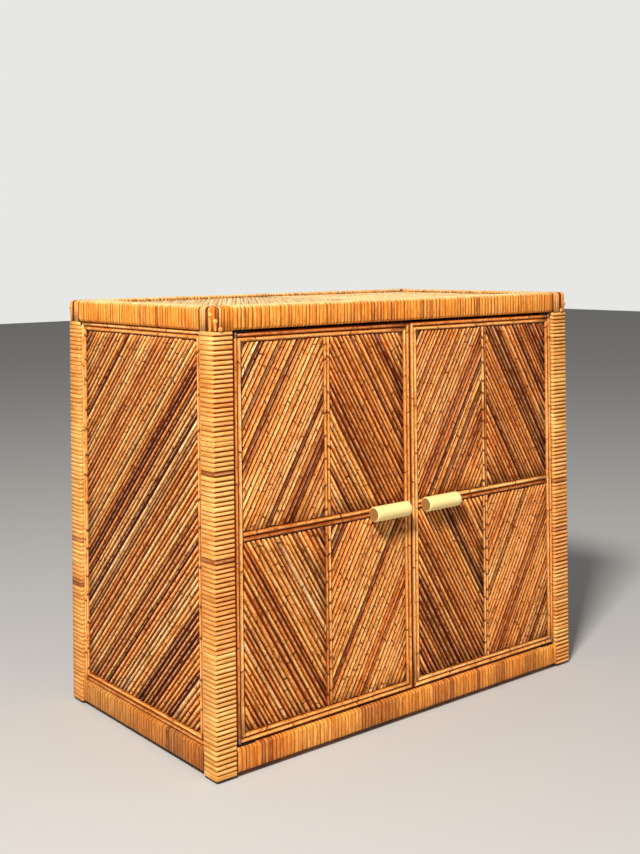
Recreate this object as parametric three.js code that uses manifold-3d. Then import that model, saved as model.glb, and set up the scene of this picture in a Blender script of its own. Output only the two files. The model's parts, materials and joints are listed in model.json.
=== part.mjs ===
// Record cabinet: a wrapped frame with reed-faced sides and top and two reed-faced doors on pivot hinges.
// Millimetres, +Z up, the doors face -Y. The origin is the middle of the space it takes up, on the floor.
import * as THREE from 'three';
import { mergeVertices } from 'three/addons/utils/BufferGeometryUtils.js';
import Module from 'manifold-3d';

const wasm = await Module();
wasm.setup();

// Case
const CASE_WIDTH = 813;
const CASE_DEPTH = 459;
const CASE_HEIGHT = 707;
const POST_SIDE = 38;
const TOP_RAIL_HEIGHT = 37;
const BOTTOM_RAIL_HEIGHT = 37.5;
const BOTTOM_RAIL_LIFT = 2.5;
const RAIL_EDGE_RADIUS = 5;
const RAIL_EDGE_FACETS = 2;
const CORNER_RADIUS = 9;
const CORNER_FACETS = 5;
const WRAP_PITCH = 7.2;
const WRAP_RISE = 1.6;
const GLIDE_HEIGHT = 4;
const GLIDE_RADIUS = 11;
const GLIDE_FACETS = 16;

// Sides of a bar or frame that is turned square
const SQUARE_SIDES = 4;

// Clearance kept between pieces that are fitted together, and the overrun of every cut
const SEAT = 0.3;
const OVERRUN = 2;

// Boards
const SIDE_BOARD = 9;
const BACK_BOARD = 6;
const BACK_RECESS = 6;
const FLOOR_BOARD = 12;
const TOP_BOARD = 9;
const SHELF_BOARD = 15;
const RECORD_BAY_HEIGHT = 338;
const SHELF_SETBACK = 7;
const CLEAT_WIDTH = 18;
const CLEAT_HEIGHT = 18;

// Half-round mouldings, laid as pairs
const BEAD_WIDTH = 7.5;
const BEAD_RISE = 6;
const MOULDING_RECESS = 4;
const BEAD_VALLEY_SHARE = 0.25;
const BEAD_FACETS = 4;

// Half-round reeds laid side by side on a thin backing
const DOOR_REED_PITCH = 7.6;
const DOOR_REED_RISE = 3.8;
const SIDE_REED_PITCH = 8.1;
const SIDE_REED_RISE = 4;
const TOP_REED_PITCH = 7.6;
const TOP_REED_RISE = 3.8;
const TOP_REED_RECESS = 3;
const REED_BACKING = 0.8;
const REED_FACETS = 2;
const DOOR_REED_LIE = THREE.MathUtils.degToRad(59.3);
const SIDE_REED_LIE = THREE.MathUtils.degToRad(45.5);
const TOP_REED_LIE = THREE.MathUtils.degToRad(55);

// Doors
const DOOR_BOARD = 15;
const DOOR_SIDE_GAP = 3;
const DOOR_MEETING_GAP = 2.5;
const DOOR_TOP_GAP = 4.2;
const DOOR_FOOT_GAP = 3.4;
const STRIP_BEAD_WIDTH = 6.5;
const STRIP_RISE = 5;
const MID_BEAD_WIDTH = 8;

// Handles: a length of pole flattened where it lies on the middle rail of its door
const HANDLE_DIAMETER = 25;
const HANDLE_LENGTH = 76;
const HANDLE_FLAT = 1.5;
const HANDLE_CHAMFER = 1.5;
const HANDLE_INSET = 20;
const HANDLE_FACETS = 14;

// Pivot hinges
const HINGE_INSET = 4.5;
const HINGE_BARREL_RADIUS = 2.6;
const HINGE_BARREL_HEIGHT = 8;
const HINGE_PIN_RADIUS = 1.4;
const HINGE_RUNNING_GAP = 0.3;
const HINGE_LEAF = 1.2;
const HINGE_LEAF_LENGTH = 30;
const HINGE_LEAF_WIDTH = 14;
const HINGE_FACETS = 12;
const HINGE_NOTCH_GAP = 0.5;

// Magnetic catch
const CATCH_WIDTH = 44;
const CATCH_HEIGHT = 11;
const CATCH_DEPTH = 12;
const STRIKE_WIDTH = 17;
const STRIKE_HEIGHT = 11;
const STRIKE_THICKNESS = 1.2;
const STRIKE_INSET = 3;

// Levels and planes that follow from the sizes above
const CASE_BOTTOM = GLIDE_HEIGHT + SEAT;
const CASE_TOP = CASE_BOTTOM + CASE_HEIGHT;
const OPENING_BOTTOM = CASE_BOTTOM + BOTTOM_RAIL_LIFT + BOTTOM_RAIL_HEIGHT;
const OPENING_TOP = CASE_TOP - TOP_RAIL_HEIGHT;
const OPENING_HEIGHT = OPENING_TOP - OPENING_BOTTOM;
const OPENING_WIDTH = CASE_WIDTH - 2 * POST_SIDE;
const SIDE_OPENING = CASE_DEPTH - 2 * POST_SIDE;
const FACE_DEPTH = MOULDING_RECESS + BEAD_RISE + SEAT;
const HANDLE_PROUD = HANDLE_DIAMETER - HANDLE_FLAT + SEAT - MOULDING_RECESS;
const FRONT_Y = (HANDLE_PROUD - CASE_DEPTH) / 2;
const REAR_Y = FRONT_Y + CASE_DEPTH;
const CASE_MIDDLE_Y = FRONT_Y + CASE_DEPTH / 2;
const SIDE_X = CASE_WIDTH / 2;
const DOOR_WIDTH = (OPENING_WIDTH - 2 * DOOR_SIDE_GAP - DOOR_MEETING_GAP) / 2;
const DOOR_HEIGHT = OPENING_HEIGHT - DOOR_TOP_GAP - DOOR_FOOT_GAP;
const DOOR_BOTTOM = OPENING_BOTTOM + DOOR_FOOT_GAP;
const DOOR_BACK_DEPTH = FACE_DEPTH + DOOR_BOARD;
const MOULDING_WIDTH = 2 * BEAD_WIDTH;
const MID_RAIL_WIDTH = 2 * MID_BEAD_WIDTH;
const STRIP_WIDTH = 2 * STRIP_BEAD_WIDTH;
const HINGE_DEPTH = MOULDING_RECESS + BEAD_RISE / 2;
const SHELF_BOTTOM = OPENING_BOTTOM + RECORD_BAY_HEIGHT;
const INNER_SIDE_X = SIDE_X - FACE_DEPTH - SIDE_BOARD;
const BACK_FACE_Y = REAR_Y - BACK_RECESS - BACK_BOARD;

// Finishes
const FINISHES = {
  post_wrap: { color: 0xd08a3e, roughness: 0.5, metalness: 0 },
  rail_wrap: { color: 0xd98f3f, roughness: 0.5, metalness: 0 },
  moulding: { color: 0xc98a45, roughness: 0.45, metalness: 0 },
  reed: { color: 0xb8732f, roughness: 0.45, metalness: 0 },
  board: { color: 0x9a6a3c, roughness: 0.7, metalness: 0 },
  pole: { color: 0xe9cf7e, roughness: 0.4, metalness: 0 },
  steel: { color: 0xb9b6ad, roughness: 0.35, metalness: 1 },
  plastic: { color: 0x2b2622, roughness: 0.6, metalness: 0 },
};

const cabinet = new THREE.Group();

// Adds a named piece to a group, with its own material
function addPiece(group, name, finish, geometry) {
  const mesh = new THREE.Mesh(geometry, new THREE.MeshStandardMaterial(FINISHES[finish]));
  mesh.name = name;
  group.add(mesh);
  return mesh;
}

// Turns a closed geometry into a solid that can be joined and cut
function toSolid(geometry) {
  const bare = geometry.clone();
  bare.deleteAttribute('normal');
  bare.deleteAttribute('uv');
  const merged = mergeVertices(bare);
  const vertProperties = new Float32Array(merged.attributes.position.array);
  const triVerts = new Uint32Array(merged.index.array);
  return new wasm.Manifold(new wasm.Mesh({ numProp: 3, vertProperties, triVerts }));
}

// Turns a solid back into a geometry
function toGeometry(solid) {
  const mesh = solid.getMesh();
  const geometry = new THREE.BufferGeometry();
  geometry.setAttribute('position', new THREE.BufferAttribute(new Float32Array(mesh.vertProperties), 3));
  geometry.setIndex(new THREE.BufferAttribute(new Uint32Array(mesh.triVerts), 1));
  geometry.computeVertexNormals();
  return geometry;
}

// A box given by its lowest and highest corners
function boxBetween(low, high) {
  const size = high.map((value, axis) => value - low[axis]);
  const geometry = new THREE.BoxGeometry(...size);
  return geometry.translate(...size.map((value, axis) => low[axis] + value / 2));
}

// Moves each corner of a four-sided shape outwards along X and Y, so that a square becomes a rectangle
function drawOut(geometry, extraX, extraY) {
  const position = geometry.attributes.position;
  for (let i = 0; i < position.count; i += 1) {
    position.setX(i, position.getX(i) + (Math.sign(position.getX(i)) * extraX) / 2);
    position.setY(i, position.getY(i) + (Math.sign(position.getY(i)) * extraY) / 2);
  }
  return geometry;
}

// A four-sided ring or bar: pairs of half side and height are carried round a square, then drawn out
function squareTurned(profile, extraX, extraY) {
  const points = profile.map(([halfSide, height]) => new THREE.Vector2(halfSide * Math.SQRT2, height));
  const geometry = new THREE.LatheGeometry(points, SQUARE_SIDES, Math.PI / SQUARE_SIDES);
  return drawOut(geometry.rotateX(Math.PI / 2), extraX, extraY);
}

// Heights across one half-round, from one edge to the other, as pairs of distance and height
function halfRound(width, rise, facets) {
  return Array.from({ length: facets + 1 }, (_, step) => {
    const turn = (Math.PI * step) / facets;
    return [(width / 2) * (1 - Math.cos(turn)), rise * Math.sin(turn)];
  });
}

// Two half-rounds side by side, as pairs of distance and height; they meet in a raised valley
function doubleBead(beadWidth, rise) {
  const bead = halfRound(beadWidth, rise, BEAD_FACETS);
  const inner = bead.slice(1, -1);
  const outline = [[0, 0], ...inner, [beadWidth, rise * BEAD_VALLEY_SHARE]];
  inner.forEach(([across, height]) => outline.push([beadWidth + across, height]));
  outline.push([2 * beadWidth, 0]);
  return outline;
}

// A mitred frame of two half-round mouldings, lying in the XY plane about its middle
function mouldingFrame(width, height) {
  const shorter = Math.min(width, height);
  const profile = doubleBead(BEAD_WIDTH, BEAD_RISE).map(([inset, rise]) => [shorter / 2 - inset, rise]);
  profile.push(profile[0]);
  return squareTurned(profile, width - shorter, height - shorter);
}

// A straight strip of two half-rounds along X, from zero to its length, lying on the XY plane
function beadStrip(length, beadWidth, rise) {
  const shape = new THREE.Shape(doubleBead(beadWidth, rise).map(([across, height]) => {
    return new THREE.Vector2(across - beadWidth, height);
  }));
  const geometry = new THREE.ExtrudeGeometry(shape, { depth: length, bevelEnabled: false, steps: 1 });
  const lie = new THREE.Matrix4().makeBasis(
    new THREE.Vector3(0, 1, 0),
    new THREE.Vector3(0, 0, 1),
    new THREE.Vector3(1, 0, 0),
  );
  return geometry.applyMatrix4(lie);
}

// Half-round reeds at an angle from X, cut to the rectangle between two corners, with their backing
function reedSolid(low, high, lie, pitch, rise) {
  const middle = [(low[0] + high[0]) / 2, (low[1] + high[1]) / 2];
  const reach = Math.hypot(high[0] - low[0], high[1] - low[1]) / 2 + pitch;
  const count = Math.ceil(reach / pitch);
  const reed = halfRound(pitch, rise, REED_FACETS).slice(1);
  const shape = new THREE.Shape();
  shape.moveTo(-count * pitch, 0);
  shape.lineTo(-count * pitch, REED_BACKING);
  for (let i = -count; i < count; i += 1) {
    reed.forEach(([across, height]) => shape.lineTo(i * pitch + across, REED_BACKING + height));
  }
  shape.lineTo(count * pitch, 0);
  const sheet = new THREE.ExtrudeGeometry(shape, { depth: 2 * reach, bevelEnabled: false, steps: 1 });
  const along = new THREE.Vector3(Math.cos(lie), Math.sin(lie), 0);
  const across = new THREE.Vector3(-Math.sin(lie), Math.cos(lie), 0);
  sheet.translate(0, 0, -reach);
  sheet.applyMatrix4(new THREE.Matrix4().makeBasis(across, new THREE.Vector3(0, 0, 1), along));
  sheet.translate(middle[0], middle[1], 0);
  const window = boxBetween([low[0], low[1], -OVERRUN], [high[0], high[1], REED_BACKING + rise + OVERRUN]);
  return toSolid(sheet).intersect(toSolid(window));
}

// Two mirrored fields of reeds meeting at the middle of a rectangle, on one backing.
// A lie above zero makes them lean together at the top. A channel of bare backing can part them.
function reedChevron(width, height, lie, pitch, rise, channel) {
  const halfChannel = channel / 2;
  const left = reedSolid([-width / 2, 0], [-halfChannel, height], lie, pitch, rise);
  const right = reedSolid([halfChannel, 0], [width / 2, height], -lie, pitch, rise);
  const backing = toSolid(boxBetween([-width / 2, 0, 0], [width / 2, height, REED_BACKING]));
  return toGeometry(left.add(backing).add(right));
}

// A bar along Z from zero to its length, wrapped in square turns, with a groove between turns
function wrappedBar(side, length, pitch) {
  const turns = Math.round(length / pitch);
  const turn = length / turns;
  const profile = [[0, 0]];
  for (let i = 0; i < turns; i += 1) {
    profile.push([side / 2 - WRAP_RISE, i * turn]);
    profile.push([side / 2, (i + 1 / 2) * turn]);
  }
  profile.push([side / 2 - WRAP_RISE, length], [0, length]);
  return squareTurned(profile, 0, 0);
}

// A rectangle with rounded corners about its middle
function roundedRectangle(width, height, radius) {
  const x = width / 2 - radius;
  const y = height / 2 - radius;
  const shape = new THREE.Shape();
  shape.absarc(x, -y, radius, -Math.PI / 2, 0);
  shape.absarc(x, y, radius, 0, Math.PI / 2);
  shape.absarc(-x, y, radius, Math.PI / 2, Math.PI);
  shape.absarc(-x, -y, radius, Math.PI, (3 * Math.PI) / 2);
  return shape;
}

// A rail with rounded edges along X, from zero to its length, about its own middle line
function railBar(length, depth, height) {
  const shape = roundedRectangle(depth, height, RAIL_EDGE_RADIUS);
  const geometry = new THREE.ExtrudeGeometry(shape, {
    depth: length, bevelEnabled: false, steps: 1, curveSegments: RAIL_EDGE_FACETS,
  });
  const lie = new THREE.Matrix4().makeBasis(
    new THREE.Vector3(0, 1, 0),
    new THREE.Vector3(0, 0, 1),
    new THREE.Vector3(1, 0, 0),
  );
  return geometry.applyMatrix4(lie);
}

// A cylinder standing on Z between two heights
function standingCylinder(radius, bottom, top, facets) {
  const geometry = new THREE.CylinderGeometry(radius, radius, top - bottom, facets);
  return geometry.rotateX(Math.PI / 2).translate(0, 0, (bottom + top) / 2);
}

// Posts, their glides and the corner blocks that join the top rails
const CORNERS = [
  ['front_left', -1, -1],
  ['front_right', 1, -1],
  ['rear_left', -1, 1],
  ['rear_right', 1, 1],
];
const cornerX = SIDE_X - POST_SIDE / 2;
const cornerY = CASE_DEPTH / 2 - POST_SIDE / 2;
for (const [place, sideX, sideY] of CORNERS) {
  const corner = new THREE.Group();
  corner.position.set(sideX * cornerX, CASE_MIDDLE_Y + sideY * cornerY, 0);
  cabinet.add(corner);
  const post = wrappedBar(POST_SIDE, OPENING_TOP - CASE_BOTTOM - SEAT, WRAP_PITCH);
  addPiece(corner, `${place}_post`, 'post_wrap', post).position.z = CASE_BOTTOM;
  const glide = standingCylinder(GLIDE_RADIUS, 0, GLIDE_HEIGHT, GLIDE_FACETS);
  addPiece(corner, `${place}_glide`, 'plastic', glide);
  const block = cornerBlock(sideX, sideY);
  addPiece(corner, `${place}_corner_block`, 'rail_wrap', block).position.z = OPENING_TOP;
}

// A square block whose outer upright edge is rounded; the signs say which edge that is
function cornerBlock(sideX, sideY) {
  const half = POST_SIDE / 2;
  const shape = new THREE.Shape();
  shape.moveTo(-half, -half);
  shape.lineTo(half, -half);
  shape.lineTo(half, half - CORNER_RADIUS);
  shape.absarc(half - CORNER_RADIUS, half - CORNER_RADIUS, CORNER_RADIUS, 0, Math.PI / 2);
  shape.lineTo(-half, half);
  const geometry = new THREE.ExtrudeGeometry(shape, {
    depth: TOP_RAIL_HEIGHT, bevelEnabled: false, steps: 1, curveSegments: CORNER_FACETS,
  });
  const outwards = Math.atan2(sideY, sideX) - Math.PI / 4;
  return geometry.rotateZ(outwards);
}

// Rails between the posts, at the foot and at the top
const RAIL_LEVELS = [
  ['bottom', CASE_BOTTOM + BOTTOM_RAIL_LIFT + BOTTOM_RAIL_HEIGHT / 2, BOTTOM_RAIL_HEIGHT],
  ['top', CASE_TOP - TOP_RAIL_HEIGHT / 2, TOP_RAIL_HEIGHT],
];
for (const [level, z, height] of RAIL_LEVELS) {
  for (const [place, side] of [['front', -1], ['rear', 1]]) {
    const rail = railBar(OPENING_WIDTH - 2 * SEAT, POST_SIDE, height);
    const mesh = addPiece(cabinet, `${level}_${place}_rail`, 'rail_wrap', rail);
    mesh.position.set(-OPENING_WIDTH / 2 + SEAT, CASE_MIDDLE_Y + side * cornerY, z);
  }
  for (const [place, side] of [['left', -1], ['right', 1]]) {
    const rail = railBar(SIDE_OPENING - 2 * SEAT, POST_SIDE, height);
    const mesh = addPiece(cabinet, `${level}_${place}_rail`, 'rail_wrap', rail);
    mesh.position.set(side * cornerX, CASE_MIDDLE_Y - SIDE_OPENING / 2 + SEAT, z);
    mesh.rotation.z = Math.PI / 2;
  }
}

// Floor, back and top boards
const boardX = OPENING_WIDTH / 2 - SEAT;
const boardFrontY = FRONT_Y + POST_SIDE + SEAT;
const boardRearY = REAR_Y - POST_SIDE - SEAT;
addPiece(cabinet, 'floor_board', 'board', boxBetween(
  [-boardX, boardFrontY, OPENING_BOTTOM - FLOOR_BOARD],
  [boardX, boardRearY, OPENING_BOTTOM],
));
addPiece(cabinet, 'back_board', 'board', boxBetween(
  [-boardX, BACK_FACE_Y, OPENING_BOTTOM + SEAT],
  [boardX, BACK_FACE_Y + BACK_BOARD, OPENING_TOP - SEAT],
));
const topBoardTop = CASE_TOP - TOP_REED_RECESS - TOP_REED_RISE - REED_BACKING - SEAT;
addPiece(cabinet, 'top_board', 'board', boxBetween(
  [-boardX, boardFrontY, topBoardTop - TOP_BOARD],
  [boardX, boardRearY, topBoardTop],
));

// Reeds of the top, in two fields that lean together at the back
const topReeds = reedChevron(
  2 * boardX, boardRearY - boardFrontY, TOP_REED_LIE, TOP_REED_PITCH, TOP_REED_RISE, 0,
);
addPiece(cabinet, 'top_reeds', 'reed', topReeds).position.set(0, boardFrontY, topBoardTop + SEAT);

// Shelf, notched round the posts, on two cleats fixed to the side boards
const shelfX = INNER_SIDE_X - SEAT;
const shelfFrontY = FRONT_Y + DOOR_BACK_DEPTH + SHELF_SETBACK;
const shelfRearY = BACK_FACE_Y - SEAT;
const notchX = OPENING_WIDTH / 2 - SEAT;
const shelfShape = new THREE.Shape();
shelfShape.moveTo(-notchX, shelfFrontY);
shelfShape.lineTo(notchX, shelfFrontY);
shelfShape.lineTo(notchX, boardFrontY);
shelfShape.lineTo(shelfX, boardFrontY);
shelfShape.lineTo(shelfX, boardRearY);
shelfShape.lineTo(notchX, boardRearY);
shelfShape.lineTo(notchX, shelfRearY);
shelfShape.lineTo(-notchX, shelfRearY);
shelfShape.lineTo(-notchX, boardRearY);
shelfShape.lineTo(-shelfX, boardRearY);
shelfShape.lineTo(-shelfX, boardFrontY);
shelfShape.lineTo(-notchX, boardFrontY);
const shelf = new THREE.ExtrudeGeometry(shelfShape, { depth: SHELF_BOARD, bevelEnabled: false, steps: 1 });
addPiece(cabinet, 'shelf', 'board', shelf).position.z = SHELF_BOTTOM;

// Each side: a board between the posts, its moulding frame, its reeds and the shelf's cleat
for (const [place, side] of [['left', -1], ['right', 1]]) {
  const face = new THREE.Group();
  face.position.set(side * (SIDE_X - FACE_DEPTH), CASE_MIDDLE_Y, OPENING_BOTTOM);
  face.setRotationFromMatrix(new THREE.Matrix4().makeBasis(
    new THREE.Vector3(0, side, 0),
    new THREE.Vector3(0, 0, 1),
    new THREE.Vector3(side, 0, 0),
  ));
  cabinet.add(face);
  const width = SIDE_OPENING - 2 * SEAT;
  const height = OPENING_HEIGHT - 2 * SEAT;
  const board = boxBetween([-width / 2, SEAT, -SIDE_BOARD], [width / 2, SEAT + height, 0]);
  addPiece(face, `${place}_side_board`, 'board', board);
  const moulding = addPiece(face, `${place}_side_moulding`, 'moulding', mouldingFrame(width, height));
  moulding.position.set(0, SEAT + height / 2, SEAT);
  const inset = MOULDING_WIDTH + SEAT;
  const low = [-width / 2 + inset, SEAT + inset];
  const high = [width / 2 - inset, SEAT + height - inset];
  const reeds = reedSolid(low, high, -side * SIDE_REED_LIE, SIDE_REED_PITCH, SIDE_REED_RISE);
  addPiece(face, `${place}_side_reeds`, 'reed', toGeometry(reeds)).position.z = SEAT;
  const cleat = boxBetween(
    [-width / 2, SHELF_BOTTOM - OPENING_BOTTOM - SEAT - CLEAT_HEIGHT, -SIDE_BOARD - SEAT - CLEAT_WIDTH],
    [width / 2, SHELF_BOTTOM - OPENING_BOTTOM - SEAT, -SIDE_BOARD - SEAT],
  );
  addPiece(face, `${place}_shelf_cleat`, 'board', cleat);
}

// Magnetic catch under the top rail, behind both doors
const catchFrontY = FRONT_Y + DOOR_BACK_DEPTH + STRIKE_THICKNESS + 2 * SEAT;
addPiece(cabinet, 'magnetic_catch', 'plastic', boxBetween(
  [-CATCH_WIDTH / 2, catchFrontY, OPENING_TOP - SEAT - CATCH_HEIGHT],
  [CATCH_WIDTH / 2, catchFrontY + CATCH_DEPTH, OPENING_TOP - SEAT],
));

// A hinge leaf lying level round the pivot, from its outer end inwards along X, between two heights
function hingeLeaf(inwards, bottom) {
  const outer = -inwards * HINGE_BARREL_RADIUS;
  const inner = inwards * (HINGE_LEAF_LENGTH - HINGE_BARREL_RADIUS);
  return boxBetween(
    [Math.min(outer, inner), -HINGE_BARREL_RADIUS, bottom],
    [Math.max(outer, inner), HINGE_LEAF_WIDTH - HINGE_BARREL_RADIUS, bottom + HINGE_LEAF],
  );
}

// Each door and its two pivot hinges. Inwards is the way from its hinges to the other door.
for (const [place, side] of [['left', -1], ['right', 1]]) {
  const inwards = -side;
  const meetingX = (side * DOOR_MEETING_GAP) / 2;
  const hingedX = meetingX + side * DOOR_WIDTH;
  const middleX = (meetingX + hingedX) / 2;
  const pivotX = hingedX + inwards * HINGE_INSET;

  // Pieces on the door's front, drawn about the middle of its lower edge
  const face = new THREE.Group();
  face.position.set(middleX, FRONT_Y + FACE_DEPTH, DOOR_BOTTOM);
  face.rotation.x = Math.PI / 2;
  cabinet.add(face);
  const board = boxBetween([-DOOR_WIDTH / 2, 0, -DOOR_BOARD], [DOOR_WIDTH / 2, DOOR_HEIGHT, 0]);
  addPiece(face, `${place}_door_board`, 'board', board);

  // Moulding frame, notched at the hinged corners for the hinge barrels
  const notchWidth = HINGE_INSET + HINGE_BARREL_RADIUS + HINGE_NOTCH_GAP;
  const notchHeight = HINGE_BARREL_HEIGHT + HINGE_NOTCH_GAP;
  const edgeX = (side * DOOR_WIDTH) / 2;
  let frame = toSolid(mouldingFrame(DOOR_WIDTH, DOOR_HEIGHT));
  for (const end of [-1, 1]) {
    const cornerEdge = (end * DOOR_HEIGHT) / 2;
    const nearX = edgeX + inwards * notchWidth;
    const farX = edgeX - inwards * OVERRUN;
    const nearY = cornerEdge - end * notchHeight;
    const farY = cornerEdge + end * OVERRUN;
    const notch = boxBetween(
      [Math.min(nearX, farX), Math.min(nearY, farY), -OVERRUN],
      [Math.max(nearX, farX), Math.max(nearY, farY), BEAD_RISE + OVERRUN],
    );
    frame = frame.subtract(toSolid(notch));
  }
  const moulding = addPiece(face, `${place}_door_moulding`, 'moulding', toGeometry(frame));
  moulding.position.set(0, DOOR_HEIGHT / 2, SEAT);

  // Middle rail, and reeds above and below it that together make a diamond
  const fieldWidth = DOOR_WIDTH - 2 * MOULDING_WIDTH - 2 * SEAT;
  const fieldHeight = (DOOR_HEIGHT - 2 * MOULDING_WIDTH - MID_RAIL_WIDTH) / 2 - 2 * SEAT;
  const midRail = beadStrip(fieldWidth, MID_BEAD_WIDTH, BEAD_RISE);
  const midRailMesh = addPiece(face, `${place}_door_mid_rail`, 'moulding', midRail);
  midRailMesh.position.set(-fieldWidth / 2, DOOR_HEIGHT / 2, SEAT);
  const channel = STRIP_WIDTH + 2 * SEAT;
  const lowerY = MOULDING_WIDTH + SEAT;
  const upperY = DOOR_HEIGHT - MOULDING_WIDTH - SEAT - fieldHeight;
  for (const [level, y, lie] of [['upper', upperY, DOOR_REED_LIE], ['lower', lowerY, -DOOR_REED_LIE]]) {
    const reeds = reedChevron(fieldWidth, fieldHeight, lie, DOOR_REED_PITCH, DOOR_REED_RISE, channel);
    addPiece(face, `${place}_door_${level}_reeds`, 'reed', reeds).position.set(0, y, SEAT);
    const strip = addPiece(face, `${place}_door_${level}_strip`, 'moulding',
      beadStrip(fieldHeight, STRIP_BEAD_WIDTH, STRIP_RISE - REED_BACKING - SEAT));
    strip.position.set(0, y, 2 * SEAT + REED_BACKING);
    strip.rotation.z = Math.PI / 2;
  }

  // Handle on the middle rail, near the meeting edge
  const handleShape = new THREE.Shape();
  const flatTurn = Math.acos(1 - (2 * HANDLE_FLAT) / HANDLE_DIAMETER);
  const radius = HANDLE_DIAMETER / 2 - HANDLE_CHAMFER;
  handleShape.absarc(0, 0, radius, flatTurn - Math.PI, Math.PI - flatTurn);
  const handle = new THREE.ExtrudeGeometry(handleShape, {
    depth: HANDLE_LENGTH - 2 * HANDLE_CHAMFER,
    bevelThickness: HANDLE_CHAMFER,
    bevelSize: HANDLE_CHAMFER,
    bevelSegments: 1,
    steps: 1,
    curveSegments: HANDLE_FACETS,
  });
  handle.applyMatrix4(new THREE.Matrix4().makeBasis(
    new THREE.Vector3(0, 0, 1),
    new THREE.Vector3(0, 1, 0),
    new THREE.Vector3(-1, 0, 0),
  ));
  const handleX = edgeX + inwards * (DOOR_WIDTH - HANDLE_INSET - HANDLE_LENGTH / 2);
  const handleMesh = addPiece(face, `${place}_handle`, 'pole', handle);
  const handleRise = BEAD_RISE + 2 * SEAT + HANDLE_DIAMETER / 2 - HANDLE_FLAT;
  handleMesh.position.set(handleX + HANDLE_LENGTH / 2 - HANDLE_CHAMFER, DOOR_HEIGHT / 2, handleRise);

  // Strike plate on the door's back
  const strikeTop = DOOR_HEIGHT - SEAT;
  const strikeFace = -DOOR_BOARD - SEAT;
  const strikeNear = edgeX + inwards * (DOOR_WIDTH - STRIKE_INSET);
  const strikeFar = strikeNear - inwards * STRIKE_WIDTH;
  addPiece(face, `${place}_door_strike`, 'steel', boxBetween(
    [Math.min(strikeNear, strikeFar), strikeTop - STRIKE_HEIGHT, strikeFace - STRIKE_THICKNESS],
    [Math.max(strikeNear, strikeFar), strikeTop, strikeFace],
  ));

  // Hinges: the pin hangs from or stands on the case, and the barrel turns on it with the door
  for (const [level, end] of [['upper', 1], ['lower', -1]]) {
    const hinge = new THREE.Group();
    const doorEdge = end > 0 ? DOOR_BOTTOM + DOOR_HEIGHT : DOOR_BOTTOM;
    const caseEdge = end > 0 ? OPENING_TOP : OPENING_BOTTOM;
    hinge.position.set(pivotX, FRONT_Y + HINGE_DEPTH, 0);
    cabinet.add(hinge);
    const barrelEnd = doorEdge - end * HINGE_BARREL_HEIGHT;
    const leafFace = doorEdge + end * SEAT;
    const leafBack = leafFace + end * HINGE_LEAF;
    const barrel = standingCylinder(
      HINGE_BARREL_RADIUS, Math.min(barrelEnd, leafBack), Math.max(barrelEnd, leafBack), HINGE_FACETS,
    );
    const bore = standingCylinder(
      HINGE_PIN_RADIUS + HINGE_RUNNING_GAP,
      Math.min(barrelEnd, leafBack) - OVERRUN,
      Math.max(barrelEnd, leafBack) + OVERRUN,
      HINGE_FACETS,
    );
    const doorLeaf = toSolid(hingeLeaf(inwards, Math.min(leafFace, leafBack)))
      .add(toSolid(barrel))
      .subtract(toSolid(bore));
    addPiece(hinge, `${place}_door_${level}_hinge_barrel`, 'steel', toGeometry(doorLeaf));
    const caseFace = caseEdge - end * SEAT;
    const caseBack = caseFace - end * HINGE_LEAF;
    const pin = standingCylinder(
      HINGE_PIN_RADIUS, Math.min(caseFace, barrelEnd), Math.max(caseFace, barrelEnd), HINGE_FACETS,
    );
    const caseLeaf = toSolid(hingeLeaf(inwards, Math.min(caseFace, caseBack))).add(toSolid(pin));
    addPiece(hinge, `${place}_door_${level}_hinge_pin`, 'steel', toGeometry(caseLeaf));
  }
}

export default cabinet;
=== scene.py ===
"""Record cabinet in wound rattan and split reed: the looks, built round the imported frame.

Every reed, turn of winding and length of moulding is a tube of its own, worked out as whole arrays.
"""
import json
import math

import bpy
import numpy as np
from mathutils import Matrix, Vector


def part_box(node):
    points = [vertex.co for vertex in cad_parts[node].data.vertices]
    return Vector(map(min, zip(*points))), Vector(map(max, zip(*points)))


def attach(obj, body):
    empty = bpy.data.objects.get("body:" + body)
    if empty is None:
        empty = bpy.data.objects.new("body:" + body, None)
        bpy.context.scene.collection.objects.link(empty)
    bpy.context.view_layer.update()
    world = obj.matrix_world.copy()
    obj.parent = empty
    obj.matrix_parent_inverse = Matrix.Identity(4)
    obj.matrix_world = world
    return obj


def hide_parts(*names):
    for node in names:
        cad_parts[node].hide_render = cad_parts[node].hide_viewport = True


bl_info = {
    "name": "Rattan Record Cabinet",
    "version": (1, 0, 0),
    "blender": (4, 5, 0),
    "location": "3D View > Sidebar > Cabinet",
    "description": "Lays the reeds, windings and fittings of a rattan record cabinet on its frame",
    "category": "Add Mesh",
}

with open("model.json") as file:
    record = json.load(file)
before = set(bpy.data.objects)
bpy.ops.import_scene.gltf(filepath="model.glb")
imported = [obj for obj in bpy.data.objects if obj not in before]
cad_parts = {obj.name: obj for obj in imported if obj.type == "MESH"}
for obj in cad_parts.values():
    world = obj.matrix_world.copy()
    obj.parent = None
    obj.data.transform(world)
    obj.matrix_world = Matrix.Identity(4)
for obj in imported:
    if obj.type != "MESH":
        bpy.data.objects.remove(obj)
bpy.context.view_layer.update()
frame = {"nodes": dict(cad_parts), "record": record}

MM = 0.001
SIDES = ("left", "right")
LEVELS = ("upper", "lower")
CORNERS = ("front_left", "front_right", "rear_left", "rear_right")
BODY_OF = {node: body for body, nodes in frame["record"]["behaviour"]["bodies"].items() for node in nodes}
QUARTER = np.radians([0, 30, 60, 90])

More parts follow.
